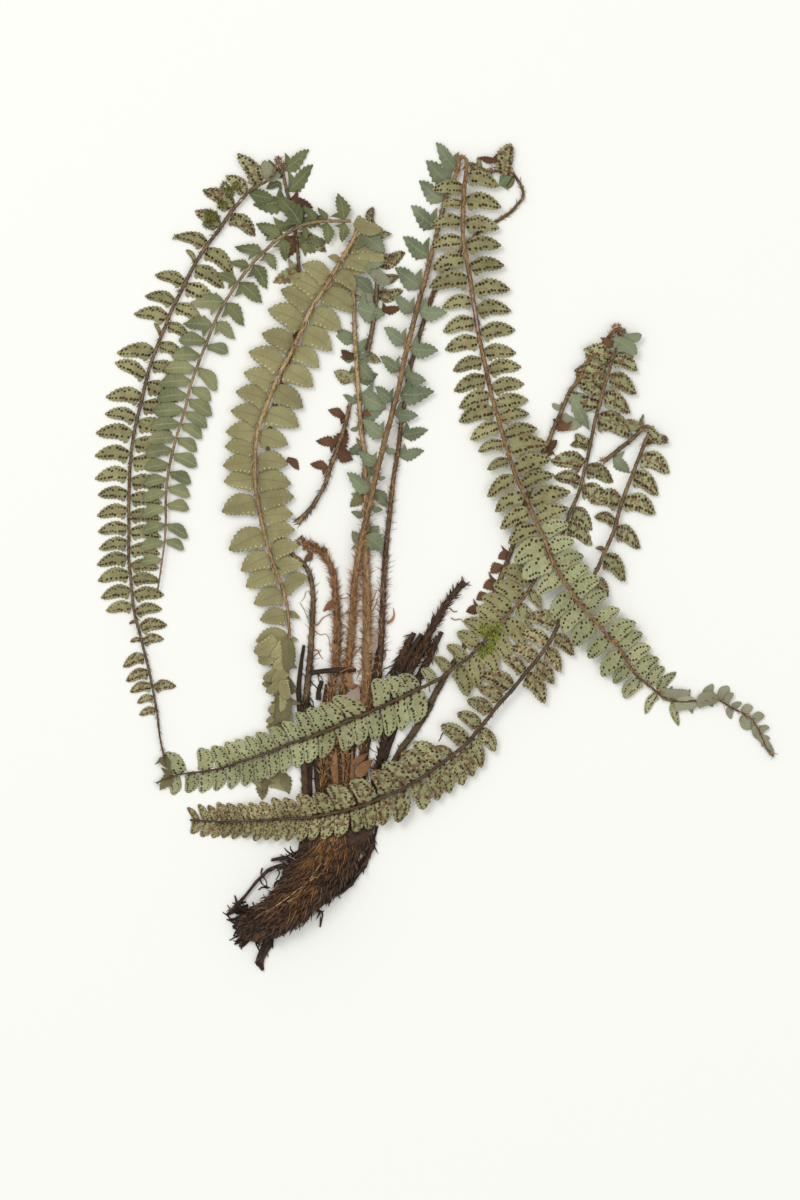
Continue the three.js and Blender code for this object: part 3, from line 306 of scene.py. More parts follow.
# Each point of a stem: plan x, plan y, width in mm, height of its underside in mm.
STEM_PLANS = {
    "outer_left_stem": stem_table("""
    306,814,3.2,0.1 305,780,3.1 304,740,3 306,700,2.8 310,660,2.6 312,625,2.2 313,596,2 310,576,1.9
    303,563,1.8 293,555,1.7 283,543 275,520 269,485 268,445 275,405 287,365 296,330 300,300,1.6,0.4
    299,272,1.5,0.9 297,245 292,215,1.4 287,192 284,178,1.3,1.1 282,167,1.2,1.4 279,162,1.2,1.7 276,166,1.2,2
    274,174,1.2,2.1 268,181 261,185,1.3,2 250,191,1.4,1.7 242,200,1.5,1.4 233,210,1.6,1.1 219,230,1.6,0.9
    204,250 192,270 182,290 172,310,1.5 164,330 156,350 149,370 142,400 137,420 133,440,1.4 130,470 129,500
    129,530,1.3 129,560 131,580 134,610,1.2 139,630 144,650,1.1 149,670 153,690,1 157,712,0.9 160,737,0.8
    163,752 166,766,0.7
    """),
    "second_left_stem": stem_table("""
    351,222,1.4,3.3 338,222 325,222 310,224 300,227 290,233 278,240,1.4,3.2 268,249,1.4,2.7 258,258,1.4,2.2
    250,267,1.4,1.9 240,280,1.3,1.8 230,295 222,308 216,320 206,345 200,360 191,385,1.2 185,410 176,440
    169,470 166,500,1.1 166,520,1 165,540,0.9 161,570,0.8 158,590,0.7
    """),
    "third_stem": stem_table("""
    346,814,3.2,0.1 345,780 346,745,3.4 352,722,3.6 361,705,3.8 366,685 367,650,3.6 367,610,3.4 366,575,3.2
    366,552,2.7,0.5 367,530,2.2,0.9 366,500,2 365,470 364,448 361,430 359,400 357,370,1.9 355,340 354,310,1.8
    353,285 354,265,1.7 358,250,1.5 364,240,1.3 367,233,1.3,1.2 364,227,1.4,2 358,229,1.6,2.8 354,239,1.8,3.3
    349,248,1.9,3.4 343,258,1.9,3.3 336,270,1.9,3.1 328,283,1.9,2.9 320,296,1.9,2.7 312,308 302,330 296,343
    290,355 277,380 266,408 258,432 255,460 256,490,1.8 261,518 267,543,1.7 275,568,1.6 283,590,1.5,2.6
    287,605,1.4,2.3 289,625,1.3,1.9 289,650,1.2,1.5 287,675,1.1,1.2 285,700,1,1 284,725,0.9,0.9 279,750,0.8
    271,775,0.7 263,794,0.6
    """),
    "long_right_stem": stem_table("""
    334,814,3.2,0.1 334,770 336,730 341,700 347,670,3 351,640,2.9 353,610,2.8 354,590,2.7,0.6 357,565,2.6,2.2
    361,542,2.5,3.2 366,520,2.4 371,500 375,480,2.3 380,460 385,440 390,422 394,405 399,388,2.2 403,366
    408,345,2.2,3.1 413,325,2.2,2.9 418,305,2.1,2.4 423,287,2,1.6 427,272,2,1 431,255,1.9,0.9 435,240 439,224
    443,208,1.8 448,192,1.7 453,181,1.7,1 458,170,1.6,1.3 459,162,1.5,1.8 462,157,1.5,2.2 466,161,1.6,2.7
    466,172,1.8,3.1 464,190,1.9,3.3 463,215 463,240 466,258 470,280,1.9,3.2 473,300,1.9,2.4 477,325,1.9,1.4
    482,352,1.9,0.9 486,370 492,398,1.8,1.1 499,422,1.8,2.2 503,437,1.8,3 510,460,1.8,3.3 517,480,1.7,3.4
    527,501,1.7,3.6 534,519,1.7,4 543,537,1.6,4.7 550,557,1.6,5.3 563,580 577,601,1.5 590,616 604,632,1.5,4.8
    620,650,1.4,3.6 634,673,1.3,2.2 647,684,1.2,1.4 659,694,1.1,0.9 670,700,1 682,702 695,701 708,699,0.9
    720,701 730,707,0.8 740,712 750,718,0.7 757,727,0.6 762,738 767,749,0.5 773,756
    """),
    "hooked_stem": stem_table("""
    360,814,3,0.1 361,780 364,745,2.9 369,714,2.8 376,686 380,660,2.7 381,639,2.6 383,596,2.4 385,559,2.2
    388,529,2.1,0.4 391,500,2,0.9 394,475 398,450 401,425,1.9 404,405,1.9,0.7 407,388,1.9,0.3 411,365,1.9,0.1
    417,345,1.8 421,330 427,312 433,294,1.7 441,280,1.6 452,262,1.5 466,245 480,232,1.4 494,223 511,212,1.3
    518,204,1.3,0.2 523,197,1.3,0.4 522,189,1.2,0.7 518,181,1.2,0.9 511,173 502,171,1.1 492,172,1 482,171,0.9
    473,170,0.8
    """),
    "small_centre_stem": stem_table("""
    368,352,1.8,0.9 371,335,2 374,318 376,300 377,285 377,270,1.8 377,258,1.3
    """),
    "withered_stem": stem_table("""
    350,404,1.7,0.9 345,425,1.9 340,440 335,455 330,468 326,482,1.8 320,494,1.7 312,507,1.8,0.6
    303,517,2.2,0.2 297,523,3.2,0.1
    """),
    "upper_crossing_stem": stem_table("""
    378,814,3.2,0.1 384,785 392,766 402,748,3.4 411,736,3.6 421,721 428,710,3.5 433,698,3.4 441,684,3.2
    450,668,2.8 463,648,2.4 478,624,2.1 492,598,2 503,572 512,548,1.9 520,520 528,495 537,468 545,449,1.9,0.3
    550,438,1.9,0.6 555,425,1.8,0.9 561,412 565,402,1.7 570,391 576,383 581,374,1.6 586,364 592,356
    599,348,1.5 606,340 612,333,1.4,1 618,329,1.3,1.4 623,332,1.3,2.2 621,340,1.4,2.9 616,349,1.4,3.1
    612,358,1.5 608,374 604,386,1.5,2.8 601,399,1.5,2.4 597,412,1.5,2.1 594,424,1.5,1.8 591,440,1.5,1.3
    588,455,1.5,0.9 585,467 581,485 577,497 570,512 565,528,1.4,1.2 556,548,1.4,1.8 547,563,1.4,2.3
    538,573,1.4,2.4 533,583 524,597 517,605 508,615 497,627 487,638 478,648 468,658,1.4,2.5 457,666,1.4,2.7
    447,673,1.4,2.8 439,679,1.4,2.9 425,686,1.4,3.1 412,692,1.4,3.2 402,697 385,705 367,713 350,720 334,727
    318,734 304,739,1.3,3.1 288,744,1.3,2.9 273,751,1.3,2.8 255,757,1.2,2.6 240,762,1.1,1.9 222,768,1,1.1
    200,772,0.9,0.9 182,774,0.8 168,778,0.7 156,783,0.6
    """),
    "lower_crossing_stem": stem_table("""
    603,462,1.9,0.9 612,455,1.8 622,447 632,439,1.7 639,432,1.7,1 644,427,1.6,1.2 650,428,1.6,1.5
    649,434,1.6,1.7 645,441,1.6,1.8 641,452 637,462 632,475,1.7 628,485 623,499 618,514 614,530,1.7,1.9
    609,542,1.7,2.1 603,555,1.7,2.6 596,571,1.6,3 584,588,1.6,3.2 571,605 561,619 555,631,1.7 550,641 543,651
    534,663 527,671,1.7,3.3 519,681,1.7,3.4 508,694 497,706 487,719 477,731 467,743,1.6 456,752 447,759
    436,767,1.6,3.6 425,775,1.5,4 412,783,1.5,4.6 400,790,1.5,5 384,796 368,803,1.4 350,809 330,813
    310,817,1.3 290,818,1.3,4.9 275,819,1.2,4.4 260,820,1.2,3.6 245,821,1.1,2.5 228,822,1,1.3 210,821,1,0.9
    190,820,0.9
    """),
    "curled_stipe": stem_table("""
    322,814,3,0.1 323,770 325,730 330,698 335,670,2.9 337,640,2.8 337,610,2.6 335,590,2.4 332,571,2.3
    325,557,2.4 316,549,2.6 305,543,2.4
    """),
    "old_stipe_a": stem_table("""
    368,814,3.2,0.1 374,785 380,760 386,735,3.3 394,708,3.4 402,684,3.6 412,663 424,643,3.2 434,625,3
    443,609,2.8 451,597,2.4 458,589 464,582,2.8
    """),
    "old_stipe_b": stem_table("""
    438,636,2.6,0.1 433,649,2.8 426,663 418,679,2.6 411,696,2.4 405,712,2 401,726,1.6
    """),
    "old_stipe_c": stem_table("""
    414,633,2.2,0.1 407,646,2.6 399,661 391,680,2.4 386,698,2
    """),
    "cross_stick": stem_table("""
    310,673,2,2.2 325,671,2.3 340,670 356,670,1.8
    """),
}
# Each blade: its stem, where it starts and ends, how its leaflets lean on the left and the right, and their
# tips. A tip that has four numbers gives its foot too.
BLADES = {
    "outer_left_leaflets_rising": ("outer_left_stem", (297, 262), (281, 164), (0.3, 0.3), table("""
    268,160,274,181 253,205,289,201 276,228,294,225 309,150,283,172 313,165,287,190 311,207,292,215
    326,243,297,248
    """)),
    "outer_left_leaflets": ("outer_left_stem", (268, 181), (159, 724), (0.2, 0.2), table("""
    238,154 226,176 203,190 195,211 175,236 186,250 155,275 145,296 134,314 154,323 117,353 115,363 106,397
    105,414 96,433 95,456 95,479 98,495 97,516 98,532 99,549 97,565 98,581 101,598 106,611 129,624 130,642
    123,667 126,681 130,692 137,703 139,715 255,236 233,274 224,288 216,306 202,322 190,338 184,358 181,375
    178,402 176,416 172,434 168,452 166,470 164,487 162,503 161,519 161,537 160,554 159,568 160,581 164,595
    162,609 167,625 164,639 176,686
    """)),
    "second_left_leaflets": ("second_left_stem", (349, 222), (161, 572), (0.3, 0.35), table("""
    338,194 318,208 304,206 277,196 258,226 235,247 230,262 218,273 190,303 183,324 179,340 172,356 165,369
    160,383 157,398 154,412 151,426 148,440 145,454 145,468 144,484 143,500 142,516 142,532 141,547 141,562
    342,243 328,245 306,240 286,262 276,270 267,289 262,303 244,326 235,339 228,353 217,390 211,400 212,415
    207,427 202,438 197,451 197,466 191,483 190,496 189,509 188,537 184,549
    """)),
    "third_leaflets_rising": ("third_stem", (367, 528), (353, 285), (0.3, 0.3), table("""
    351,512 351,494 349,449 350,430 343,395 334,372 340,357 336,336 384,409 378,374 373,353 371,290
    """)),
    "third_leaflets": ("third_stem", (356, 236), (265, 790), (0.15, 0.1), table("""
    328,257 302,265 289,277 281,290 268,310 262,334 249,352 244,373 236,392 231,411 226,432 225,447 223,466
    224,482 222,512 229,550 241,571 246,587 254,604 260,620 256,641 262,660 262,684 268,710 266,727 252,781
    383,230 385,251 371,272 356,291 354,312 341,330 332,351 319,368 313,387 303,408 299,427 288,445 288,465
    291,484 294,497 293,514 295,530 299,546 303,564 308,577 300,618 298,640 297,668 296,692 292,714 290,790
    """)),
    "long_right_leaflets_rising": ("long_right_stem", (364, 528), (459, 166), (0.4, 0.2), table("""
    436,143 426,161 419,181 411,206 403,237 395,268 394,296 384,328 380,357 375,387 362,420 358,452 347,473
    447,313 438,351 426,381 434,392 418,416 397,452 386,478 383,510
    """)),
    "long_right_leaflets": ("long_right_stem", (466, 168), (770, 753), (0.2, 0.2), table("""
    499,187 501,208 499,229 501,246 504,266 510,290 511,311 515,330 516,353 521,367 524,384 528,400 529,414
    537,429 548,444 551,459 554,475 570,492 568,508 568,524 574,542 583,556 588,567 599,578 606,592 619,609
    635,622 642,633 650,647 658,658 664,667 676,672 672,686 432,190 440,207 430,226 430,248 431,270 429,288
    442,308 443,332 445,350 453,371 454,391 459,408 459,422 470,440 478,452 487,470 487,497 495,512 500,529
    508,544 514,562 522,578 537,594 551,619 562,632 573,646 588,658 601,676 613,683 624,698 645,714 690,689
    712,684 728,686 741,702 752,706 760,716 765,727 770,738 678,726 692,714 712,707 730,719 741,724 748,729
    757,737 761,746
    """)),
    "hooked_leaflets": ("hooked_stem", (392, 494), (401, 424), (0.3, 0.3), table("""
    424,451 428,430
    """)),
    "hooked_tip_leaflets": ("hooked_stem", (518, 181), (475, 170), (0.1, 0.1), table("""
    507,144 478,157 506,189 480,182
    """)),
    "small_centre_leaflets": ("small_centre_stem", (376, 312), (377, 261), (0.1, 0.1), table("""
    405,253,377,266 399,277,377,281 403,291,376,297
    """)),
    "withered_leaflets": ("withered_stem", (348, 412), (325, 484), (0.1, 0.1), table("""
    328,410 316,441 310,464 348,447 351,459
    """)),
    "upper_crossing_leaflets_rising": ("upper_crossing_stem", (556, 424), (607, 339), (0.2, 0.6), table("""
    552,404 582,425 634,357 638,338
    """)),
    "upper_crossing_leaflets": ("upper_crossing_stem", (614, 353), (160, 781), (0.35, 0.25), table("""
    637,371 636,394 630,413 632,436 613,482 609,502 592,530 592,545 541,608 530,628 524,646 508,660 497,674
    479,688 468,696 417,723 402,731 389,736 375,741 359,745 346,751 323,758 309,763 297,768 284,773 272,777
    259,782 245,786 231,789 216,791 202,793 188,793 174,795 583,350 574,371 570,445 551,461 554,477 502,570
    493,584 482,596 476,607 464,620 457,632 447,645 434,657 422,668 400,674 387,677 374,679 334,696 321,703
    308,708 296,712 283,721 270,727 257,732 246,736 236,739 226,742 213,746 200,748 166,752
    """)),
    "lower_crossing_leaflets_rising": ("lower_crossing_stem", (606, 460), (640, 431), (0.1, 0.1), table("""
    629,473 643,414
    """)),
    "lower_crossing_leaflets": ("lower_crossing_stem", (648, 436), (193, 820), (0.35, 0.35), table("""
    668,440 669,473 658,495 655,514 640,548 625,581 608,597 574,655 561,672 554,684 545,703 495,751 482,767
    473,776 463,785 450,793 438,800 424,809 399,822 383,825 369,829 356,832 338,837 324,839 311,840 299,841
    287,841 276,841 266,840 255,841 244,838 233,839 223,838 213,838 202,837 192,834 588,500 594,517 595,548
    525,616 520,632 509,647 502,658 480,674 478,687 467,700 457,713 441,725 435,746 413,742 402,751 383,763
    373,770 352,779 330,784 315,792 299,793 285,797 273,797 261,801 250,802 239,803 228,803 218,802 209,805
    199,804 188,807
    """)),
}

print("stems:", len(STEM_PLANS), " blades:", len(BLADES))

# %% [markdown]
# ## Following a stem
# The solids were bent along a smooth curve through the measured points. To lie in the same place, the fine
# pieces need the same curve, so it is written out here: a centripetal Catmull-Rom curve, which passes
# through every point and doesn't loop between close ones. It is read once, into places a little apart.

# %% Smooth courses through the measured points
def plan_place(x, y, height=0.0):
    """A plan place, as a point in the scene."""
    return Vector(((x - PLAN_MIDDLE[0]) * PLAN_UNIT, (PLAN_MIDDLE[1] - y) * PLAN_UNIT, height * MM))


def between(p0, p1, p2, p3, t):
    """The point at share t between p1 and p2 on the centripetal curve through all four."""
    gap0 = max((p1 - p0).length, 1e-9) ** 0.5
    gap1 = max((p2 - p1).length, 1e-9) ** 0.5
    gap2 = max((p3 - p2).length, 1e-9) ** 0.5
    pull1 = ((p1 - p0) / gap0 - (p2 - p0) / (gap0 + gap1) + (p2 - p1) / gap1) * gap1
    pull2 = ((p2 - p1) / gap1 - (p3 - p1) / (gap1 + gap2) + (p3 - p2) / gap2) * gap1
    third = -3 * p1 + 3 * p2 - 2 * pull1 - pull2
    fourth = 2 * p1 - 2 * p2 + pull1 + pull2
    return p1 + pull1 * t + third * t ** 2 + fourth * t ** 3


def lay_course(points, step=0.8 * MM):
    """Samples along a stem: place of its underside, width, station along the plan and heading on the plan."""
    knots = [plan_place(x, y, height) for x, y, _, height in points]
    knots = [2 * knots[0] - knots[1], *knots, 2 * knots[-1] - knots[-2]]
    course = []
    for i in range(len(points) - 1):
        pieces = max(1, round((knots[i + 2] - knots[i + 1]).length / step))
        for k in range(pieces + (i == len(points) - 2)):
            t = k / pieces
            width = points[i][2] * (1 - t) + points[i + 1][2] * t
            course.append({"place": between(*knots[i:i + 4], t), "width": width * MM})
    station = 0.0
    for i, sample in enumerate(course):
        before = course[max(i - 1, 0)]["place"]
        after = course[min(i + 1, len(course) - 1)]["place"]
        run = (after - before).xy
        sample["heading"] = run.normalized()
        sample["slope"] = (after.z - before.z) / max(run.length, 1e-9)
        if i:
            station += (sample["place"] - before).xy.length
        sample["station"] = station
    return course


COURSES = {name: lay_course(points) for name, points in STEM_PLANS.items()}
print("longest stem:", round(max(c[-1]["station"] for c in COURSES.values()) / MM), "mm")

# %% [markdown]
# ## A stalk as a Geometry Nodes tree
# A fern's stalk is a tapering tube, wider than high once it is pressed. A curve could be given a round bevel,
# but the tube would stay round. In this tree the course becomes a curve, a circle is swept along it, and
# every point of the tube is then moved to the width and height that its part of the stalk has. A little noise
# makes the dried skin uneven. All the stalks share the tree and differ in its inputs.

# %% Build the stalk tree
def new_geometry_tree(name, inputs):
    """A Geometry Nodes tree with the inputs given as (name, kind, value), and what comes from them."""
    tree = bpy.data.node_groups.new(name, "GeometryNodeTree")
    for label, kind, value in [("Geometry", "Geometry", None), *inputs, ("Finish", "Material", None)]:
        socket = tree.interface.new_socket(label, in_out="INPUT", socket_type="NodeSocket" + kind)
        if value is not None:
            socket.default_value = value
    tree.interface.new_socket("Geometry", in_out="OUTPUT", socket_type="NodeSocketGeometry")
    return tree, {socket.name: Value(tree, socket) for socket in tree.nodes.new("NodeGroupInput").outputs}


def close_tree(tree, feed, geometry, smooth=True):
    """Ends a tree: the copies become real, the finish goes on, and the geometry comes out."""
    if smooth:
        geometry = add_node(tree, "GeometryNodeSetShadeSmooth", {"Geometry": geometry})
    real = add_node(tree, "GeometryNodeRealizeInstances", {"Geometry": geometry})
    painted = add_node(tree, "GeometryNodeSetMaterial", {"Geometry": real, "Material": feed["Finish"]})
    add_node(tree, "NodeGroupOutput", {"Geometry": painted})
    return tree


def named(tree, attribute, kind="FLOAT"):
    """The value of an attribute stored on the geometry."""
    node = add_node(tree, "GeometryNodeInputNamedAttribute", {"Name": attribute}, data_type=kind)
    return Value(tree, node.outputs["Attribute"])


def store(tree, geometry, attribute, value, kind="FLOAT"):
    """Stores a value on the geometry's points, for a material or a later node."""
    plugs = {"Geometry": geometry, "Name": attribute, "Value": value}
    return add_node(tree, "GeometryNodeStoreNamedAttribute", plugs, data_type=kind, domain="POINT")


def place_in(tree):
    """Where each point of the geometry is."""
    return Value(tree, add_node(tree, "GeometryNodeInputPosition").outputs[0])


def build_stalk_tree():
    """Sweeps a ring along a course and fits it to the course's widths and heights."""
    tree, feed = new_geometry_tree("stalk", [("Sides", "Int", 12), ("Unevenness", "Float", 0.0)])
    course = add_node(tree, "GeometryNodeMeshToCurve", {"Mesh": feed["Geometry"]})
    along = add_node(tree, "GeometryNodeSplineParameter")
    kept = store(tree, course, "along", along.outputs["Length"])
    ring = add_node(tree, "GeometryNodeCurvePrimitiveCircle", {"Resolution": feed["Sides"], "Radius": 0.5})
    around = store(tree, ring, "around", along.outputs["Factor"])
    width = named(tree, "width")
    wide = add_node(tree, "GeometryNodeSetCurveRadius", {"Curve": kept, "Radius": width})
    upright = add_node(tree, "GeometryNodeSetCurveNormal", {"Curve": wide}, mode="Z_UP")
    tube = add_node(
        tree, "GeometryNodeCurveToMesh",
        {"Curve": upright, "Profile Curve": around, "Scale": width, "Fill Caps": True},
    )
    middle, place = named(tree, "middle", "FLOAT_VECTOR"), place_in(tree)
    out = place - middle
    # How high round the tube each point lies, kept as top for the painted highlight in the stalk finishes.
    top = (split(tree, out)[2] * 2.0).math("DIVIDE", width)
    flat = out * joined(tree, 1.0, 1.0, named(tree, "flatness"))
    swell = (noise_at(tree, place, 420.0, 3.0) - 0.5) * feed["Unevenness"] + 1.0
    moved = add_node(
        tree, "GeometryNodeSetPosition",
        {"Geometry": store(tree, tube, "top", top), "Position": middle + flat * swell},
    )
    return close_tree(tree, feed, moved)


stalk_tree = build_stalk_tree()
print("stalk tree:", len(stalk_tree.nodes), "nodes")

# %% [markdown]
# ## The kinds of leaflet along each blade
# A blade isn't the same from end to end: the fold shows its leaflets' other face, and they get smaller and
# plainer towards the tip. So each blade is parted into stretches. A stretch says which pattern its leaflets
# are copied from, how broad they are and which finish they have.

# %% Tell the stretches of each blade
# Each stretch: up to which share of the blade, the pattern, how broad beside the pattern, and the finish.
BLADE_KINDS = {
    "outer_left_leaflets_rising": [(1, "holly", 1.1, "dark")],
    "outer_left_leaflets": [
        (0.14, "eared", 1.25, "mottled"), (0.8, "eared", 1.15, "under"), (1, "eared", 1.25, "worn"),
    ],
    "second_left_leaflets": [
        (0.36, "holly", 1.15, "dark"), (0.42, "holly", 1.15, "upper"), (1, "blunt", 1.08, "upper"),
    ],
    "third_leaflets_rising": [(1, "holly", 1.2, "deep")],
    "third_leaflets": [(1, "oval", 1.16, "olive")],
    "long_right_leaflets_rising": [(1, "holly", 1.25, "deep")],
    "long_right_leaflets": [
        (0.52, "eared", 1.2, "under"), (0.8, "broad", 1.25, "pale"), (0.87, "eared", 1.0, "pale"),
        (1, "broad", 1.5, "grey"),
    ],
    "hooked_leaflets": [(1, "holly", 1.1, "deep")],
    "hooked_tip_leaflets": [(1, "eared", 1.15, "under")],
    "small_centre_leaflets": [(1, "eared", 1.4, "mottled")],
    "withered_leaflets": [(1, "holly", 1.15, "withered")],
    "upper_crossing_leaflets_rising": [(1, "broad", 1.3, "grey")],
    "upper_crossing_leaflets": [
        (0.27, "eared", 1.4, "mottled"), (0.57, "broad", 1.2, "under"), (1, "square", 1.35, "pale"),
    ],
    "lower_crossing_leaflets_rising": [(1, "holly", 1.2, "deep")],
    "lower_crossing_leaflets": [
        (0.2, "eared", 1.45, "mottled"), (0.48, "eared", 1.35, "worn"), (0.62, "broad", 1.15, "mottled"),
        (0.82, "square", 1.4, "mottled"), (1, "square", 1.4, "worn"),
    ],
}
# How far neighbours may lie over each other.
OVERLAP = {"eared": 1.25, "blunt": 1.5, "square": 0.92, "oval": 1.55, "holly": 1.35, "broad": 1.25}
print("stretches:", sum(len(kinds) for kinds in BLADE_KINDS.values()))

# %% [markdown]
# ## Where each leaflet grows
# A leaflet was measured by its tip alone, so its foot has to be found: the nearest place on the midrib, moved
# back because leaflets lean towards the frond's tip. It could be searched for by eye for all of them. The
# rule below does it in the same way as for the solids, so every fine leaflet lies on its plain one.

# %% Place the leaflets along their midribs
# Feet lie at least so far apart, and so far from the blade's ends.
LEAST_PITCH = 2.4 * MM
BLADE_END_MARGIN = 1.6 * MM
# A foot whose neighbours are nearer to each other than this moves towards the middle between them.
EVEN_WITHIN = 22 * MM
# How far a leaflet's root lies below the midrib's underside.
LEAFLET_DEPTH = 0.55 * MM
# How far a leaflet's root lies from the middle of the midrib, in shares of the midrib's width.
ROOT_OFFSET = 0.3
# The breadth of a pattern in shares of its length.
PATTERN_BREADTH = 0.45
# A midrib's slope lifts or lowers its leaflets' tips, but only so far along the midrib.
LIFTED_WITHIN = 2 * MM


def sample_at(course, station):
    """The course's sample nearest to a station."""
    low, high = 0, len(course) - 1
    while high - low > 1:
        middle = (low + high) // 2
        low, high = (middle, high) if course[middle]["station"] <= station else (low, middle)
    return course[low if station - course[low]["station"] < course[high]["station"] - station else high]


def nearest_sample(course, place, first=-1.0, last=math.inf):
    """The course's sample nearest to a plan place, between two stations."""
    allowed = [sample for sample in course if first <= sample["station"] <= last]
    return min(allowed, key=lambda sample: (sample["place"] - place).xy.length)


def space_out(row, first, last):
    """Moves the feet of a row so that none is too near the next or the blade's ends, and evens them."""
    row.sort(key=lambda leaflet: leaflet["station"])
    for i, leaflet in enumerate(row):
        least = row[i - 1]["station"] + LEAST_PITCH if i else first + BLADE_END_MARGIN
        leaflet["station"] = max(leaflet["station"], least)
    for i in range(len(row) - 1, -1, -1):
        most = row[i + 1]["station"] - LEAST_PITCH if i < len(row) - 1 else last - BLADE_END_MARGIN
        row[i]["station"] = min(row[i]["station"], most)
    even = [leaflet["station"] for leaflet in row]
    for i in range(1, len(row) - 1):
        if row[i + 1]["station"] - row[i - 1]["station"] < EVEN_WITHIN:
            neighbours = row[i - 1]["station"] + row[i + 1]["station"]
            even[i] = 0.4 * row[i]["station"] + 0.3 * neighbours
    for leaflet, station in zip(row, even):
        leaflet["station"] = station


def give_forms(row, course, first, last, kinds):
    """Gives each leaflet of a row its kind, root, reach to the tip and pull along the midrib."""
    for i, leaflet in enumerate(row):
        foot = sample_at(course, leaflet["station"])
        heading, slope = foot["heading"], foot["slope"]
        sideways = Vector((-heading.y, heading.x)) * leaflet["side"]
        root = foot["place"].xy + sideways * ROOT_OFFSET * foot["width"]
        reach = leaflet["tip"].xy - root
        gaps = [abs(row[k]["station"] - leaflet["station"]) for k in (i - 1, i + 1) if 0 <= k < len(row)]
        pitch = min(sum(gaps) / len(gaps), 1.5 * min(gaps)) if gaps else math.inf
        share = (leaflet["station"] - first) / (last - first)
        leaflet["kind"] = next(kind for kind in kinds if share <= kind[0])
        _, shape, broad, _ = leaflet["kind"]
        breadth = min(broad, OVERLAP[shape] * pitch / (PATTERN_BREADTH * reach.length))
        ahead = heading * reach.length * breadth
        rise = slope * max(-LIFTED_WITHIN, min(LIFTED_WITHIN, reach.dot(heading)))
        leaflet["root"] = (*root, foot["place"].z - LEAFLET_DEPTH)
        leaflet["reach"] = (*reach, rise)
        leaflet["ahead"] = (*ahead, slope * ahead.length * 0.3)


def place_leaflets(name):
    """The leaflets of a blade, first those on its left and then those on its right."""
    stem, start, end, leans, tips = BLADES[name]
    course = COURSES[stem]
    first = nearest_sample(course, plan_place(*start))["station"]
    last = nearest_sample(course, plan_place(*end), first)["station"]
    rows = {1: [], -1: []}
    for tip_x, tip_y, *foot in tips:
        tip = plan_place(tip_x, tip_y)
        near = nearest_sample(course, plan_place(*foot) if foot else tip, first, last)
        reach = (tip - near["place"]).xy
        side = 1 if near["heading"].cross(reach) > 0 else -1
        lean = 0 if foot else leans[0 if side == 1 else 1]
        rows[side].append({"tip": tip, "station": near["station"] - lean * reach.length, "side": side})
    for row in rows.values():
        space_out(row, first, last)
        give_forms(row, course, first, last, BLADE_KINDS[name])
    return rows[1] + rows[-1]


placed = {name: place_leaflets(name) for name in BLADES}
print("leaflets:", sum(len(leaflets) for leaflets in placed.values()))

# %% [markdown]
# ## Leaflets to copy
# The fronds of one plant don't carry one kind of leaflet. Those before a fold are coarse, with a big angular
# ear like holly; the long hanging rows are slender with a small ear; others are blunt or oval. Each could be
# drawn one by one. We make one flat pattern of each kind, with as few faces as its toothed outline needs, and
# store on every point how far along and how far across it lies. These are shares for the tree to place.

# %% Make the leaflet patterns
# Each margin goes from root to tip: share of the length, then distance from the midvein in the same shares.
# The notches between the teeth are cut down to the share given. Some patterns have fewer rows of points.
SHAPES = {
    "eared": {"notch": 0.84, "ear": table("""
    0,0.03 0.05,0.15 0.11,0.26 0.17,0.285 0.26,0.235 0.36,0.19 0.5,0.175 0.65,0.16 0.78,0.135 0.88,0.095
    0.95,0.05 1,0
    """), "arch": table("""
    0,0.03 0.08,0.05 0.16,0.12 0.28,0.19 0.42,0.22 0.56,0.215 0.7,0.19 0.82,0.145 0.9,0.09 0.96,0.05 1,0
    """)},
    "broad": {"notch": 0.88, "ear": table("""
    0,0.1 0.07,0.25 0.16,0.3 0.3,0.26 0.5,0.22 0.7,0.19 0.85,0.14 0.94,0.08 1,0
    """), "arch": table("""
    0,0.08 0.1,0.15 0.25,0.23 0.45,0.27 0.65,0.27 0.8,0.23 0.9,0.16 0.97,0.07 1,0
    """)},
    "blunt": {"notch": 0.87, "ear": table("""
    0,0.04 0.06,0.14 0.14,0.21 0.25,0.19 0.45,0.2 0.65,0.21 0.8,0.18 0.9,0.13 0.97,0.06 1,0
    """), "arch": table("""
    0,0.03 0.1,0.07 0.25,0.16 0.4,0.25 0.55,0.32 0.7,0.34 0.82,0.28 0.92,0.16 1,0
    """)},
    "oval": {"notch": 0.86, "ear": table("""
    0,0.1 0.05,0.25 0.12,0.34 0.2,0.35 0.3,0.29 0.44,0.255 0.6,0.22 0.74,0.175 0.86,0.12 0.95,0.055 1,0
    """), "arch": table("""
    0,0.08 0.08,0.15 0.2,0.23 0.34,0.29 0.48,0.315 0.62,0.3 0.76,0.24 0.87,0.155 0.95,0.07 1,0
    """)},
    "square": {"notch": 0.9, "ear": table("""
    0,0.2 0.08,0.26 0.3,0.23 0.6,0.2 0.8,0.17 0.92,0.11 1,0
    """), "arch": table("""
    0,0.16 0.1,0.24 0.3,0.3 0.55,0.32 0.76,0.3 0.88,0.23 0.96,0.12 1,0
    """)},
    "holly": {"notch": 0.76, "rows": 13, "ear": table("""
    0,0.03 0.06,0.18 0.1,0.33 0.145,0.44 0.22,0.28 0.32,0.2 0.45,0.22 0.6,0.21 0.73,0.17 0.85,0.11 0.94,0.05
    1,0
    """), "arch": table("""
    0,0.03 0.1,0.07 0.2,0.15 0.32,0.26 0.43,0.29 0.56,0.27 0.7,0.2 0.84,0.12 0.94,0.05 1,0
    """)},
    "lance": {"notch": 1.0, "ear": table("""
    0,0.08 0.12,0.15 0.35,0.17 0.6,0.13 0.85,0.05 1,0
    """), "arch": table("""
    0,0.06 0.12,0.13 0.35,0.16 0.6,0.13 0.85,0.05 1,0
    """)},
}
PATTERN_ROWS = 17
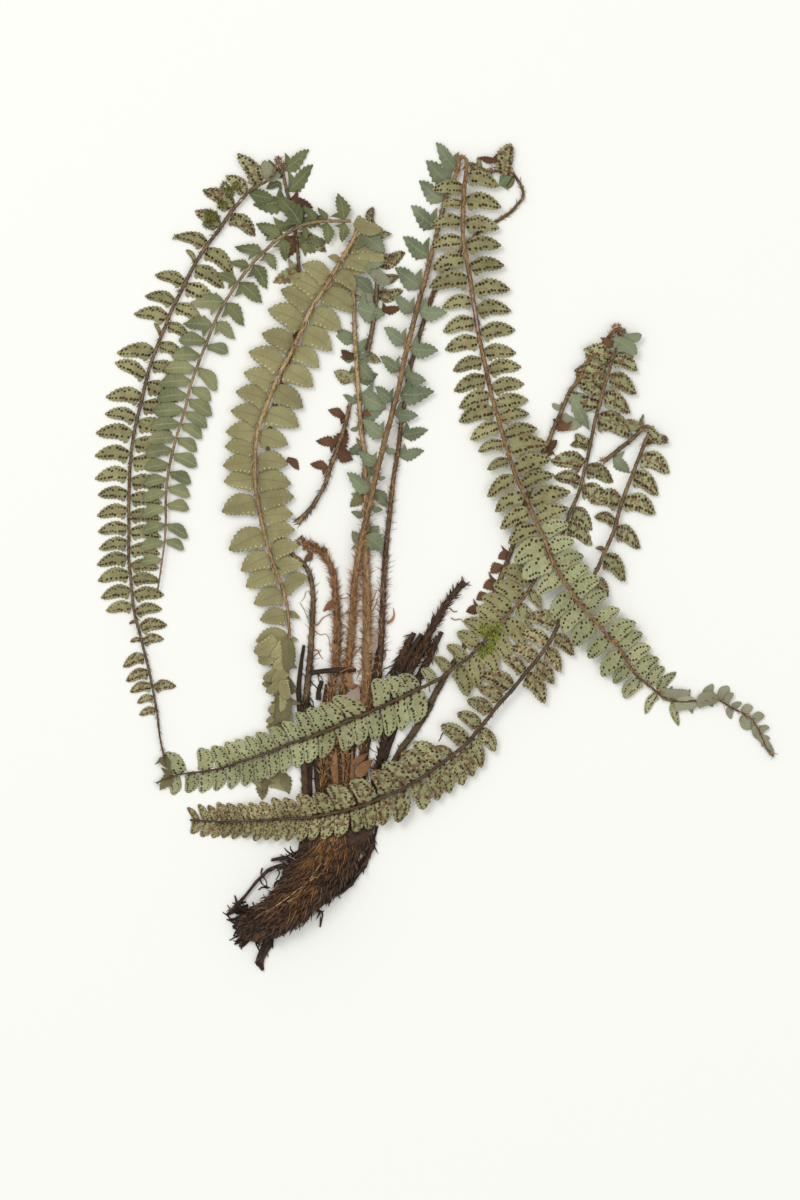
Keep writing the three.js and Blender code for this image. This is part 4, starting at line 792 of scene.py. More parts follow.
# Rows get closer towards the tip. Teeth point forward, and the notches between them lie a little back.
TIPWARD = 0.92
TOOTH_SLIP, NOTCH_SLIP = 0.022, -0.004
PATTERN_THICKNESS = 0.01


def read_margin(margin, along):
    """The margin's distance from the midvein at one share of the length."""
    for (start, near), (end, far) in zip(margin, margin[1:]):
        if along <= end:
            return near + (far - near) * (along - start) / (end - start)
    return 0.0


def make_leaflet_pattern(name, shape):
    """A toothed leaflet of four points a row: ear side, upper midvein, lower midvein and arched side."""
    points = [(0.0, 0.0, 0.0, 0.0)]
    rows = shape.get("rows", PATTERN_ROWS)
    for row in range(rows):
        along = ((row + 0.6) / (rows + 0.1)) ** TIPWARD
        tooth, slip = (shape["notch"], NOTCH_SLIP) if row % 2 else (1.0, TOOTH_SLIP)
        ear = read_margin(shape["ear"], along) * (tooth if row > 1 else 1)
        arched = -read_margin(shape["arch"], along) * (tooth if row > 1 else 1)
        edge = along + slip
        points += [(edge, ear, 0, 1), (along, 0, 0, 0), (along, 0, 1, 0), (edge, arched, 0, -1)]
    points.append((1.0, 0.0, 0.0, 0.0))
    tip = len(points) - 1
    faces = [(0, 2, 1), (0, 4, 2), (0, 1, 3), (0, 3, 4)]
    for row in range(rows - 1):
        ear, top, under, arched = range(1 + 4 * row, 5 + 4 * row)
        faces += [(ear, top, top + 4, ear + 4), (top, arched, arched + 4, top + 4),
                  (under, ear, ear + 4, under + 4), (arched, under, under + 4, arched + 4)]
    ear, top, under, arched = range(tip - 4, tip)
    faces += [(ear, top, tip), (top, arched, tip), (under, ear, tip), (arched, under, tip)]
    run, swing, under, cross = zip(*points)
    places = [(along, across, -PATTERN_THICKNESS * below) for along, across, below in zip(run, swing, under)]
    mesh = new_mesh(
        name, places, faces=faces, run=run, swing=swing, under=under, cross=cross, lift=[0.0] * len(points)
    )
    on_margin = [side != 0 for side in cross]
    on_margin[0] = on_margin[tip] = True
    for edge in mesh.edges:
        edge.use_edge_sharp = all(on_margin[i] for i in edge.vertices)
    return new_piece(name, mesh)


patterns = {name: make_leaflet_pattern(name + "_pattern", shape) for name, shape in SHAPES.items()}
print("patterns:", {name: len(piece.data.polygons) for name, piece in patterns.items()}, "faces")

# %% [markdown]
# ## The tree that lays patterns on leaflets
# This one tree lays all the leaflets, and later the sori too. It copies a pattern to every leaflet's point,
# makes the copies real, and moves each of their points by what the leaflet's point knows: its root, its reach
# to the tip, and its pull along the midrib. On top of that come an arch, a bend and ripples, which differ
# from leaflet to leaflet, as dried leaves do. Patterns of the other side come out mirrored, so their faces
# are turned over. We keep one attribute for the finish: how far along, how far across, and a tint.

# %% Build the leaflet tree
def copies_of(tree, pattern, points, **plugs):
    """Copies of a pattern on points, made real."""
    shape = add_node(tree, "GeometryNodeObjectInfo", {"Object": pattern}).outputs["Geometry"]
    plugs = {"Points": points, "Instance": shape, **plugs}
    copies = add_node(tree, "GeometryNodeInstanceOnPoints", plugs)
    return add_node(tree, "GeometryNodeRealizeInstances", {"Geometry": copies})


def put_above(tree, geometry, place, lowest):
    """Moves the geometry's points to a place that isn't below the lowest height."""
    x, y, z = split(tree, place)
    above = joined(tree, x, y, z.math("MAXIMUM", lowest))
    return add_node(tree, "GeometryNodeSetPosition", {"Geometry": geometry, "Position": above})


def build_leaflet_tree():
    """Copies a pattern onto each leaflet and shapes every copy by the leaflet's own values."""
    tree, feed = new_geometry_tree("leaflets", [
        ("Pattern", "Object", None), ("Thickness", "Float", 0.24 * MM), ("Arch", "Float", 0.22 * MM),
        ("Ripple", "Float", 0.5 * MM), ("Lowest", "Float", 0.03 * MM), ("Chance from", "Float", 0.0),
        ("Chance to", "Float", 1.0),
    ])
    copies = copies_of(tree, feed["Pattern"], feed["Geometry"])
    tint = named(tree, "tint")
    which = joined(tree, tint, named(tree, "number"))
    chance = Value(tree, add_node(tree, "ShaderNodeTexWhiteNoise", {"Vector": which}).outputs["Value"])
    absent = chance.math("LESS_THAN", feed["Chance from"]) + chance.math("GREATER_THAN", feed["Chance to"])
    grown = add_node(tree, "GeometryNodeDeleteGeometry", {"Geometry": copies, "Selection": absent})
    run, swing, cross, under = (named(tree, name) for name in ("run", "swing", "cross", "under"))
    root, reach, ahead = (named(tree, name, "FLOAT_VECTOR") for name in ("root", "reach", "ahead"))
    side_pull = (run * run - run) * named(tree, "bend") + swing
    flat = reach * run + root + ahead * side_pull
    ripple = (noise_at(tree, flat, 260.0, 2.0) - 0.5) * run * feed["Ripple"]
    arch = cross.math("ABSOLUTE") * named(tree, "arch") + cross * named(tree, "tilt")
    height = arch * feed["Arch"] + ripple - under * feed["Thickness"] + named(tree, "lift")
    lowest = (1.0 - under) * feed["Thickness"] + feed["Lowest"]
    moved = put_above(tree, grown, flat + joined(tree, z=height), lowest)
    mirrored = named(tree, "side").math("GREATER_THAN", 0.0)
    turned = add_node(tree, "GeometryNodeFlipFaces", {"Mesh": moved, "Selection": mirrored})
    marked = store(tree, turned, "leaf", joined(tree, run, cross, tint), "FLOAT_VECTOR")
    return close_tree(tree, feed, marked)


leaflet_tree = build_leaflet_tree()
print("leaflet tree:", len(leaflet_tree.nodes), "nodes")

# %% [markdown]
# ## From a tree to a finished piece
# A Geometry Nodes modifier could stay on the piece, but the plant's pieces have to be plain meshes in the
# end. So we set the tree's inputs by their identifiers, let Blender work the result out, copy that into a new
# mesh, and drop what the tree used. The attributes that only the tree needed go too.

# %% A helper that runs a tree and keeps its result
KEPT_ATTRIBUTES = {
    "position", "leaf", "along", "around", "top", "tint", "flow", "material_index",
    "sharp_face", "sharp_edge",
}


def grow(name, mesh, tree, slot, *nodes, **inputs):
    """Runs a tree on a mesh and keeps the result as a plain piece."""
    seed_piece = new_piece(name + "_seed", mesh)
    modifier = seed_piece.modifiers.new("grow", "NODES")
    modifier.node_group = tree
    sockets = {item.name: item.identifier for item in tree.interface.items_tree if item.in_out == "INPUT"}
    for label, value in inputs.items():
        modifier[sockets[label.replace("_", " ")]] = value
    graph = bpy.context.evaluated_depsgraph_get()
    result = bpy.data.meshes.new_from_object(seed_piece.evaluated_get(graph), depsgraph=graph)
    result.name = name
    for attribute in [a.name for a in result.attributes if not a.is_required and not a.is_internal]:
        if attribute not in KEPT_ATTRIBUTES and not attribute.startswith("."):
            result.attributes.remove(result.attributes[attribute])
    bpy.data.objects.remove(seed_piece)
    print(name, len(result.polygons), "faces")
    return finish_piece(new_piece(name, result), slot, *nodes)


def finish_piece(piece, slot, *nodes):
    """Lets a piece ride on the plant and puts it in the place of plain solids. Its slot is not used."""
    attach(piece, "root")
    if nodes:
        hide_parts(*nodes)
    return piece


print("ready to grow pieces")

# %% [markdown]
# ## Leaf finishes
# A dried leaflet is never one colour. The upper face is grey-green and matt, with a fine pale midvein; the
# under face is paler and yellower; an old frond turns olive. A picture could be laid on, but one picture
# would show on every leaflet. So the finish is worked out: large soft patches and fine specks come from noise
# on Object coordinates, and the midvein, the forked side veins and the browned edge come from the attribute
# that says how far along and across each point lies. The browned edge is partly the dried margin and partly
# painted shadow: the thin dark lines where leaflets overlap. Each leaflet's tint makes it a little lighter
# or darker.

# %% Mix the leaf finishes
def leaf_finish(name, dark, light, vein, ribs=0.12, midrib=0.25, edge=0.35, blotches=0.0, specks=0.0,
                dots=None, blotch_scale=260):
    """A leaf finish of soft patches, veins, a browned edge partly painted as shadow, brown blotches and fine
    dark specks.
    """
    material, tree = new_material(name)
    dark, light, vein = linear(*dark), linear(*light), linear(*vein)
    along, signed, tint = split(tree, painted_on(tree, "leaf", "Vector"))
    across = signed.math("ABSOLUTE")
    patches = object_noise(tree, 70, 4).step(0.32, 0.68)
    colour = mix(tree, patches, dark, light)
    grain = object_noise(tree, 1300, 2).step(0.35, 0.75)
    colour = mix(tree, grain * 0.25, colour, light)
    brown = object_noise(tree, blotch_scale, 4, 0.65).step(0.47, 0.56)
    colour = mix(tree, brown * blotches, colour, BROWN_BLOTCH)
    wander = object_noise(tree, 300, 2) * 1.5
    run = across * -1.1 + (along * VEIN_PAIRS + wander)
    veins = (run * math.tau).math("COSINE").step(0.6, 1.0)
    colour = mix(tree, veins * ribs, colour, vein)
    colour = mix(tree, (1.0 - across.step(0.02, 0.11)) * midrib, colour, vein)
    # The browned edge: partly the dried margin, partly painted shadow for the thin dark lines between
    # overlapping leaflets.
    worn = across.step(0.85, 1.0).math("MAXIMUM", along.step(0.92, 1.0))
    worn = worn * object_noise(tree, 240, 2).step(0.3, 0.6)
    colour = mix(tree, worn * edge, colour, BROWN_EDGE_AND_SHADOW)
    specked = object_noise(tree, 2400, 1).step(0.64, 0.72)
    colour = mix(tree, specked * specks, colour, DARK_SPECK)
    if dots:
        beat = (along * (math.tau * VEIN_PAIRS) + wander).math("COSINE").step(0.74, 0.95)
        lane = 1.0 - (across - 0.78).math("ABSOLUTE").step(0.03, 0.11)
        lower = signed.step(-0.1, 0.1).math("MAXIMUM", along.step(0.5, 0.7) * 0.7)
        spot = beat * lane * lower * object_noise(tree, 190, 1).step(0.36, 0.5)
        colour = mix(tree, spot * 0.9, colour, linear(*dots))
    shade = tint * 0.26 + 0.87
    colour = mix(tree, 1.0, colour, joined(tree, shade, shade, shade), "MULTIPLY")
    relief = veins * -0.5 + object_noise(tree, 900, 3)
    return surface(material, colour, 0.75, 0.22, relief, 0.45, 0.16 * MM)


VEIN_PAIRS = 7
# The dried margin's brown, made darker so that it also serves as painted shadow between overlapping leaflets.
BROWN_EDGE_AND_SHADOW = linear(92, 68, 40)
BROWN_BLOTCH = linear(108, 78, 56)
DARK_SPECK = linear(72, 54, 34)
LEAF_FINISHES = {
    "upper": leaf_finish(
        "upper_leaf_face", (100, 106, 73), (138, 139, 98), (166, 164, 128), ribs=0.2, midrib=0.5),
    "deep": leaf_finish(
        "deep_green_leaf_face", (90, 100, 72), (128, 136, 106), (158, 160, 132),
        ribs=0.2, midrib=0.4, edge=0.45),
    "dark": leaf_finish(
        "dark_upper_face", (80, 88, 56), (115, 118, 77), (148, 146, 110), ribs=0.2, midrib=0.5, edge=0.4),
    "grey": leaf_finish("grey_leaf_face", (124, 125, 100), (151, 151, 124), (166, 164, 140)),
    "under": leaf_finish(
        "under_leaf_face", (127, 126, 84), (154, 151, 107), (162, 152, 110),
        blotches=0.3, specks=0.45, edge=0.5),
    "pale": leaf_finish(
        "pale_under_face", (141, 147, 105), (167, 170, 127), (144, 134, 98),
        blotches=0.2, specks=0.4, edge=0.65, blotch_scale=600),
    "mottled": leaf_finish(
        "mottled_under_face", (133, 137, 93), (162, 164, 120), (138, 125, 90),
        blotches=0.9, specks=0.6, edge=0.8, blotch_scale=620),
    "worn": leaf_finish(
        "worn_under_face", (132, 131, 88), (167, 163, 118), (150, 132, 102),
        blotches=0.85, specks=0.6, edge=0.7, blotch_scale=900),
    "olive": leaf_finish(
        "olive_leaf_face", (130, 124, 84), (153, 147, 104), (118, 98, 72),
        ribs=0.10, midrib=0.4, edge=0.45, blotches=0.08, specks=0.15, dots=(216, 212, 158)),
    "dark_olive": leaf_finish(
        "dark_olive_leaf_face", (88, 84, 58), (120, 114, 78), (90, 78, 54), edge=0.6),
    "tan_paper": leaf_finish(
        "tan_papery_scale", (98, 66, 42), (156, 116, 80), (120, 84, 54), ribs=0.35, midrib=0.1, edge=0.25),
    "lilac_paper": leaf_finish(
        "lilac_papery_scale", (148, 128, 116), (190, 172, 160), (164, 140, 120),
        ribs=0.3, midrib=0.1, edge=0.2),
    "withered": leaf_finish("withered_leaf", (68, 42, 28), (116, 82, 56), (134, 100, 72), edge=0.6),
}
print("leaf finishes:", len(LEAF_FINISHES))

# %% [markdown]
# ## Stalk finishes
# Dried stalks are fibrous: their skin has fine ridges that run lengthwise, and some stretches are darker.
# Noise on plain Object coordinates would make blotches without a direction. The stalks carry how far along
# and how far around each point lies, so noise that is stretched along the stalk gives the ridges. They also
# know which way up they lie, so their tops get a painted highlight and their sides painted shade.

# %% Mix the stalk finishes
# Stalks get darker towards the crown, between these two places up the plant.
DARK_FOOT = (-14 * MM, -52 * MM)


def stalk_finish(name, dark, light, ridge_bump=0.5, rough=0.6, foot_at=DARK_FOOT):
    """A fibrous stalk finish with lengthwise ridges, a painted highlight on top and painted shade on its
    sides.
    """
    material, tree = new_material(name)
    dark, light = linear(*dark), linear(*light)
    turn = painted_on(tree, "around") * math.tau
    along = painted_on(tree, "along") * 160.0
    skin = joined(tree, turn.math("COSINE") * 2.2, turn.math("SINE") * 2.2, along)
    ridges = noise_at(tree, skin, 1.6, 4.0)
    patches = object_noise(tree, 90, 3).step(0.35, 0.65)
    # Painted highlight on the top of each stalk, with painted shade on its sides.
    painted_top_light = painted_on(tree, "top").step(0.2, 1.0) * 0.35
    share = patches * 0.25 + (ridges * 0.55 + painted_top_light)
    colour = mix(tree, share.step(0.3, 0.9), dark, light)
    flecks = object_noise(tree, 1500, 3, 0.6)
    colour = mix(tree, flecks.step(0.5, 0.62) * 0.6, colour, dark)
    up_the_plant = split(tree, object_place(tree))[1]
    foot = 1.0 - up_the_plant.step(foot_at[1], foot_at[0])
    colour = mix(tree, foot * 0.65, colour, dark)
    return surface(material, colour, rough, 0.3, flecks * 0.8 + ridges, ridge_bump, 0.4 * MM)


grey_stalk = stalk_finish(
    "grey_brown_stalk", (66, 48, 30), (157, 136, 95), foot_at=(2 * MM, -22 * MM)
)
olive_stalk = stalk_finish("olive_brown_stalk", (56, 40, 24), (148, 122, 80), 0.7)
brown_stalk = stalk_finish(
    "brown_stalk", (56, 40, 25), (138, 114, 76), 0.6, foot_at=(-60 * MM, -90 * MM)
)
red_stalk = stalk_finish("red_brown_stalk", (58, 41, 25), (157, 129, 88))
tan_stalk = stalk_finish("tan_stalk", (102, 74, 44), (187, 162, 116))
scaly_stalk = stalk_finish("scaly_stalk", (54, 34, 20), (132, 98, 64), 0.7)
dark_stalk = stalk_finish("dark_stalk", (38, 27, 17), (110, 86, 58), 0.7)
dead_stalk = stalk_finish("dead_stalk", (40, 28, 20), (88, 66, 46), 1.0, 0.8)
print("stalk finishes ready")

# %% [markdown]
# ## The stalks
# Every frond hangs on one stalk: a stipe below, the midrib of the blade above. Each is one course through its
# measured points. The course's points carry the width there and how flat the stalk is, and the stalk tree
# does the rest.

# %% Grow every stalk in the place of its plain solid
def course_mesh(name, courses):
    """A mesh of paths only, whose points know their width, flatness and heading."""
    points, edges, widths, flats, flows = [], [], [], [], []
    for course in courses:
        for i, sample in enumerate(course):
            height = sample.get("height", STALK_BASE_HEIGHT + STALK_HEIGHT_SHARE * sample["width"])
            if i:
                edges.append((len(points) - 1, len(points)))
            points.append(sample["place"] + Vector((0, 0, height / 2)))
            widths.append(sample["width"])
            flats.append(height / sample["width"])
            flows.append((*sample["heading"], 0))
    return new_mesh(name, points, edges, width=widths, flatness=flats, middle=points, flow=flows)


STALK_BASE_HEIGHT = 0.35 * MM
STALK_HEIGHT_SHARE = 0.4
STALK_FINISHES = {
    "outer_left_stem": (brown_stalk, "midrib"),
    "second_left_stem": (grey_stalk, "midrib"),
    "third_stem": (tan_stalk, "scaly_stipe"),
    "long_right_stem": (red_stalk, "scaly_stipe"),
    "hooked_stem": (dark_stalk, "scaly_stipe"),
    "small_centre_stem": (olive_stalk, "midrib"),
    "withered_stem": (red_stalk, "withered"),
    "upper_crossing_stem": (olive_stalk, "midrib"),
    "lower_crossing_stem": (olive_stalk, "midrib"),
    "curled_stipe": (scaly_stalk, "scaly_stipe"),
    "old_stipe_a": (dead_stalk, "dead_stipe"),
    "old_stipe_b": (dead_stalk, "dead_stipe"),
    "old_stipe_c": (dead_stalk, "dead_stipe"),
    "cross_stick": (dead_stalk, "dead_stipe"),
}
# A fine stalk is a little slimmer than its solid. The stipe of one crossing frond has shrivelled more.
SLIMNESS = 0.88
SHRIVELLED = {"upper_crossing_stem": (0.7, 72 * MM, 90 * MM)}


def slimmed(name):
    """A stem's course with the widths of the real stalk."""
    least, start, end = SHRIVELLED.get(name, (SLIMNESS, 0.0, 1.0))
    course = []
    for sample in COURSES[name]:
        share = max(0.0, min(1.0, (sample["station"] - start) / (end - start)))
        course.append({**sample, "width": sample["width"] * (least + (SLIMNESS - least) * share)})
    return course


stalks = {}
for name, (finish, slot) in STALK_FINISHES.items():
    mesh = course_mesh(name, [slimmed(name)])
    stalks[name] = grow(
        "fine_" + name, mesh, stalk_tree, slot, name, Sides=10, Unevenness=0.25, Finish=finish
    )

# %% [markdown]
# ## The leaflets
# Now the pattern goes onto every leaflet. A blade's points hold what the tree needs: root, reach and pull,
# and some chance values for arch, tilt and bend. The chance comes from a seed, so the plant is the same
# each time.

# %% Grow every blade of leaflets in the place of its plain solid
def leaflet_points(name, leaflets, seed):
    """One point a leaflet, carrying all that the leaflet tree needs."""
    chance = random.Random(seed)
    known = {key: [leaflet[key] for leaflet in leaflets] for key in ("root", "reach", "ahead", "side")}
    drawn = {key: [chance.uniform(*ends) for _ in leaflets] for key, ends in LEAFLET_CHANCES.items()}
    return new_mesh(name, [(0, 0, 0)] * len(leaflets), **known, **drawn)


LEAFLET_CHANCES = {"tint": (0.0, 1.0), "arch": (-0.8, 0.1), "tilt": (0.5, 1.0), "bend": (0.0, 0.14)}
FINISHES_OF_SLOTS = {
    "upper_face": "upper grey deep dark", "under_face": "under pale mottled worn",
    "olive_face": "olive dark_olive", "withered": "withered", "scaly_stipe": "tan_paper lilac_paper",
}
LEAF_SLOTS = {face: slot for slot, faces in FINISHES_OF_SLOTS.items() for face in faces.split()}


def stretches():
    """Each stretch of each blade: the blade, the stretch's name, its leaflets, pattern, finish and seed."""
    for seed, blade in enumerate(BLADES):
        for order, kind in enumerate(BLADE_KINDS[blade]):
            leaflets = [leaflet for leaflet in placed[blade] if leaflet["kind"] == kind]
            yield blade, f"{blade}_{order + 1}", leaflets, kind[1], kind[3], seed + 100 * order


for blade, name, leaflets, shape, face, seed in stretches():
    grow(
        "fine_" + name, leaflet_points(name, leaflets, seed), leaflet_tree, LEAF_SLOTS[face], blade,
        Pattern=patterns[shape], Finish=LEAF_FINISHES[face],
    )

# %% [markdown]
# ## Leaflets behind and between
# Near the folds the plant is crowded: leaflets of both sides of a fold lie behind and between each other, and
# some have shrivelled. The plain solids leave these out, because they would cross others. Here each is
# given by its tip, its foot and its height, and the same tree lays them.

# %% Lay the crowded leaflets near the folds
# Each is tip x, tip y, foot x, foot y, height in mm, which side its ear is on, and how broad it is.
CROWDED_LEAFLETS = {
    ("deep", "holly"): table("""
    374,258,356,243,2.6,1,1.2 384,264,364,268,3,1,0.9 372,293,356,278,1.6,1,1.2 343,293,354,277,1.2,1,1.2
    385,315,356,308,2.1,-1,1.3 337,330,354,340,0.6,1,1.2 371,338,356,352,1,-1,1.1 374,381,358,362,1,-1,1.3
    386,409,361,394,1,-1,1.3 384,430,359,428,1,1,1 348,455,364,443,0.6,1,1 362,479,376,456,1.4,1,1.1
    387,507,373,489,1.2,1,1.1 589,430,570,394,2.2,-1,0.6 385,253,362,235,3.2,1,1.2 512,172,499,186,1.4,1,1.1
    379,526,366,541,1.4,1,1.3 383,551,364,535,3.1,1,1.5 352,531,361,547,0.5,-1,1.2
    """),
    ("olive", "oval"): table("""
    363,266,352,245,2.2,1,1.1 367,271,342,266,2.1,1,1.3 331,292,346,276,0.8,1,1.2 371,298,357,297,1,1,0.9
    383,231,353,225,4.2,-1,0.85 384,262,360,250,2.8,1,1.1
    """),
    ("olive", "broad"): table("""
    254,652,278,641,2.6,1,1.2 259,663,282,650,2.2,-1,1.3 273,668,290,655,2.4,1,1.1 263,679,281,670,1.8,1,1.1
    276,688,284,668,2.1,-1,1.2 289,699,281,680,2.7,-1,1.1 266,692,280,684,2.5,1,1.1 268,711,282,703,2,1,1.1
    266,722,277,715,1.5,1,1 271,657,285,643,2.9,1,1 281,712,284,694,2.3,1,0.9
    """),
    ("dark_olive", "broad"): table("""
    287,672,289,638,3,1,0.75 278,722,285,692,2.2,1,1.1 290,722,283,698,1.8,-1,1
    """),
    ("dark_olive", "holly"): table("""
    276,724,286,694,1.7,-1,1.2 262,800,265,778,0.5,-1,1.1 270,734,281,716,1.2,1,1.2 350,507,364,492,0.6,1,1.1
    285,700,289,676,1.4,1,1.2 289,794,281,770,0.5,1,0.9 160,790,172,770,1.2,1,1 170,768,160,757,1.4,1,1.3
    """),
    ("mottled", "holly"): table("""
    334,372,355,381,1,1,1.2 381,362,364,357,0.8,1,1.1 273,283,299,267,0.6,1,0.9 392,234,373,238,1.2,1,0.9
    624,420,642,428,1.3,1,1.2
    """),
    ("mottled", "eared"): table("""
    373,207,368,224,1,1,1.2 575,434,588,446,1.2,1,1.5 326,252,299,232,0.3,1,0.9 567,392,598,408,2,1,1.1
    668,443,646,431,2.6,-1,1.1 511,144,501,176,1.6,1,1.3 469,163,491,179,1.3,1,1.1 577,368,598,396,1.6,1,1.2
    568,395,592,411,1.3,1,1.2 586,349,604,372,1.7,1,1.1
    """),
    ("withered", "holly"): table("""
    341,350,354,359,0.6,1,1.2 371,415,361,413,0.7,1,1.2 286,305,300,308,0.5,1,1.6 284,260,294,236,0.6,1,1.1
    313,208,290,199,0.5,-1,1 401,308,381,311,0.6,-1,0.9 553,419,568,431,1.5,1,1.2 299,470,288,457,0.4,1,1
    478,158,498,162,1.6,1,0.7 498,559,508,551,0.3,1,1.5 490,573,503,565,0.3,-1,1.5 483,588,496,580,0.3,1,1.6
    476,600,488,594,0.3,-1,1.4 466,612,479,606,0.3,1,1.4 600,338,618,347,2.6,1,0.8 347,430,337,452,1.2,1,1.3
    353,460,337,452,1.4,-1,1.4 304,562,313,553,0.9,1,1.2 557,440,547,452,1.1,1,1.2 543,446,552,455,0.9,-1,1.1
    """),
    ("tan_paper", "lance"): table("""
    343,682,362,690,2,1,0.9 374,759,356,776,2.6,1,1.3 324,612,335,599,1.6,1,0.9 335,738,336,795,2,1,0.28
    352,746,352,798,2.1,-1,0.25 344,660,351,684,1.7,-1,0.7 371,668,367,688,1.9,1,0.7
    369,752,352,764,2.5,-1,0.9 332,640,337,660,1.7,1,0.6
    """),
    ("lilac_paper", "lance"): table("""
    378,632,370,653,1.7,1,1.4 359,686,345,708,2.4,-1,1.7
    """),
    ("grey", "broad"): table("""
    264,161,275,182,1.2,1,1.2 373,301,357,285,1.4,1,1.2 390,284,371,272,2.2,-1,1.1 690,692,659,696,1.3,-1,0.8
    697,706,674,703,1.5,1,1.2 719,700,696,700,1.6,1,1.2 752,706,741,713,1,1,1.3 748,730,744,715,1,-1,1.3
    764,715,751,720,1,1,1.3 758,739,753,726,1,-1,0.9 769,727,759,731,1,1,1.1 773,757,757,731,1.2,1,0.5
    733,693,724,703,1.3,1,1
    """),
    ("deep", "broad"): table("""
    636,355,615,339,4,1,1 641,335,624,341,3.2,-1,1.1
    """),
    ("dark", "holly"): table("""
    266,189,281,182,0.6,-1,1 274,199,249,194,1,-1,1.2 257,205,286,200,0.5,1,1 256,224,281,233,0.5,1,1
    266,241,284,222,0.9,1,0.9 327,217,297,224,0.6,-1,0.8 300,215,292,202,1.2,1,0.8 327,241,299,246,0.4,1,0.9
    """),
}


def lay_by_hand(leaflets):
    """Leaflets given one by one, in the form that the leaflet tree reads."""
    laid = []
    for tip_x, tip_y, foot_x, foot_y, height, side, breadth in leaflets:
        root = plan_place(foot_x, foot_y, height)
        reach = plan_place(tip_x, tip_y, height) - root
        ahead = Vector((reach.y, -reach.x, 0)) * side * breadth * CROWDED_BREADTH
        laid.append({"root": root, "reach": reach, "ahead": ahead, "side": side})
    return laid


CROWDED_BREADTH = 1.12
crowded = {key: lay_by_hand(leaflets) for key, leaflets in CROWDED_LEAFLETS.items()}
for seed, ((face, shape), leaflets) in enumerate(crowded.items()):
    grow(
        f"crowded_{face}_{shape}", leaflet_points(f"crowded_{face}", leaflets, seed + 60), leaflet_tree,
        LEAF_SLOTS[face], Pattern=patterns[shape], Finish=LEAF_FINISHES[face],
    )
print("leaflets laid one by one:", sum(len(leaflets) for leaflets in crowded.values()))

# %% [markdown]
# ## The sori
# On the under face of each leaflet two rows of sori, the brown heaps of spore cases, follow the midvein. They
# could be painted, but from the side they are seen as low domes. Their pattern is a leaflet's worth of small
# six-sided domes, placed by the same tree as the leaflets, so they follow each leaflet's arch and bend. Each
# place gets a chance: for a high one the tree grows a small dome, for a low one a large dome, and for the
# highest none.

# %% Grow the sori on the under faces
def make_sori_pattern(name, shape, per_row, stray, radius):
    """Two rows of low domes, in shares of a leaflet's length, each astray by chance."""
    points, faces, numbers = [], [], []
    chance = random.Random(per_row)
    for side in (1, -1):
        margin = shape["ear"] if side == 1 else shape["arch"]
        for k in range(per_row):
            along = SORI_START + SORI_RUN * (k + chance.uniform(-stray, stray)) / (per_row - 1)
            wide = read_margin(margin, along)
            middle = side * max(wide - SORI_INSET * chance.uniform(0.8, 1 + 4 * stray), 0.4 * wide)
            size = radius * (1.15 - 0.3 * along)
            base = len(points)
            for share, lift in DOME_RINGS:
                for turn in range(6):
                    angle = math.tau * turn / 6
                    y = middle + size * share * math.sin(angle) * SORI_ACROSS
                    points.append((along + size * share * math.cos(angle), y, lift * SORI_HEIGHT, y / wide))
            points.append((along, middle, SORI_HEIGHT, middle / wide))
            numbers += [side * (k + 1)] * 13
            for turn in range(6):
                following = (turn + 1) % 6
                faces.append((base + turn, base + following, base + 6 + following, base + 6 + turn))
                faces.append((base + 6 + turn, base + 6 + following, base + 12))
            faces.append(tuple(base + turn for turn in range(5, -1, -1)))
    run, swing, lift, cross = zip(*points)
    return new_piece(name, new_mesh(
        name, list(zip(run, swing, lift)), faces=faces,
        run=run, swing=swing, lift=lift, cross=cross, under=[0.0] * len(points), number=numbers,
    ))


def sori_finish():
    """Grainy dark brown heaps."""
    material, tree = new_material("sori_brown")
    grain = object_noise(tree, 2600, 2)
    share = object_noise(tree, 160, 2) * 0.6 + grain * 0.5
    colour = mix(tree, share.step(0.35, 0.8), linear(46, 33, 23), linear(98, 74, 52))
    return surface(material, colour, 0.85, 0.2, grain, 0.8, 0.1 * MM)


# Where the rows of sori start on a leaflet and how long they are, in shares of its length.
SORI_START, SORI_RUN = 0.1, 0.8
SORI_HEIGHT = 0.2 * MM
# The two rings of a dome: how wide beside its radius, and how high beside its height.
DOME_RINGS = ((1.0, -0.1), (0.72, 0.75))
# How far a sorus lies inside the margin, in shares of the leaflet's length.
SORI_INSET = 0.085
# Leaflets are broader than their pattern, so a sorus that should come out round is narrower in the pattern.
SORI_ACROSS = 0.8
# For each pattern: sori to a row, how far they lie astray, and how big they are beside the usual ones.
SORI_SHAPES = {"eared": (9, 0.2, 1.0), "broad": (8, 0.3, 1.0), "square": (8, 0.3, 1.1)}
# Each size of sorus: how big it is, and between which chances it grows.
SORI_SIZES = {"large": (0.047, 0.0, 0.5), "small": (0.036, 0.5, 0.88)}
sori_patterns = {
    (shape, size): make_sori_pattern(f"{shape}_{size}_sori", SHAPES[shape], per_row, stray, radius * bigger)
    for shape, (per_row, stray, bigger) in SORI_SHAPES.items() for size, (radius, _, _) in SORI_SIZES.items()
}
sori_brown = sori_finish()


def grow_sori(name, leaflets, shape, seed):
    """Large and small sori on the leaflets of one pattern."""
    for size, (_, first, last) in SORI_SIZES.items():
        grow(
            f"{size}_sori_of_{name}", leaflet_points(name, leaflets, seed), leaflet_tree, "under_face",
            Pattern=sori_patterns[shape, size], Chance_from=first, Chance_to=last, Finish=sori_brown,
        )
    return len(leaflets)


with_sori = sum(
    grow_sori(name, leaflets, shape, seed)
    for _, name, leaflets, shape, face, seed in stretches() if LEAF_SLOTS[face] == "under_face"
)
with_sori += grow_sori("crowded", crowded["mottled", "eared"], "eared", 64)
print("leaflets with sori:", with_sori)

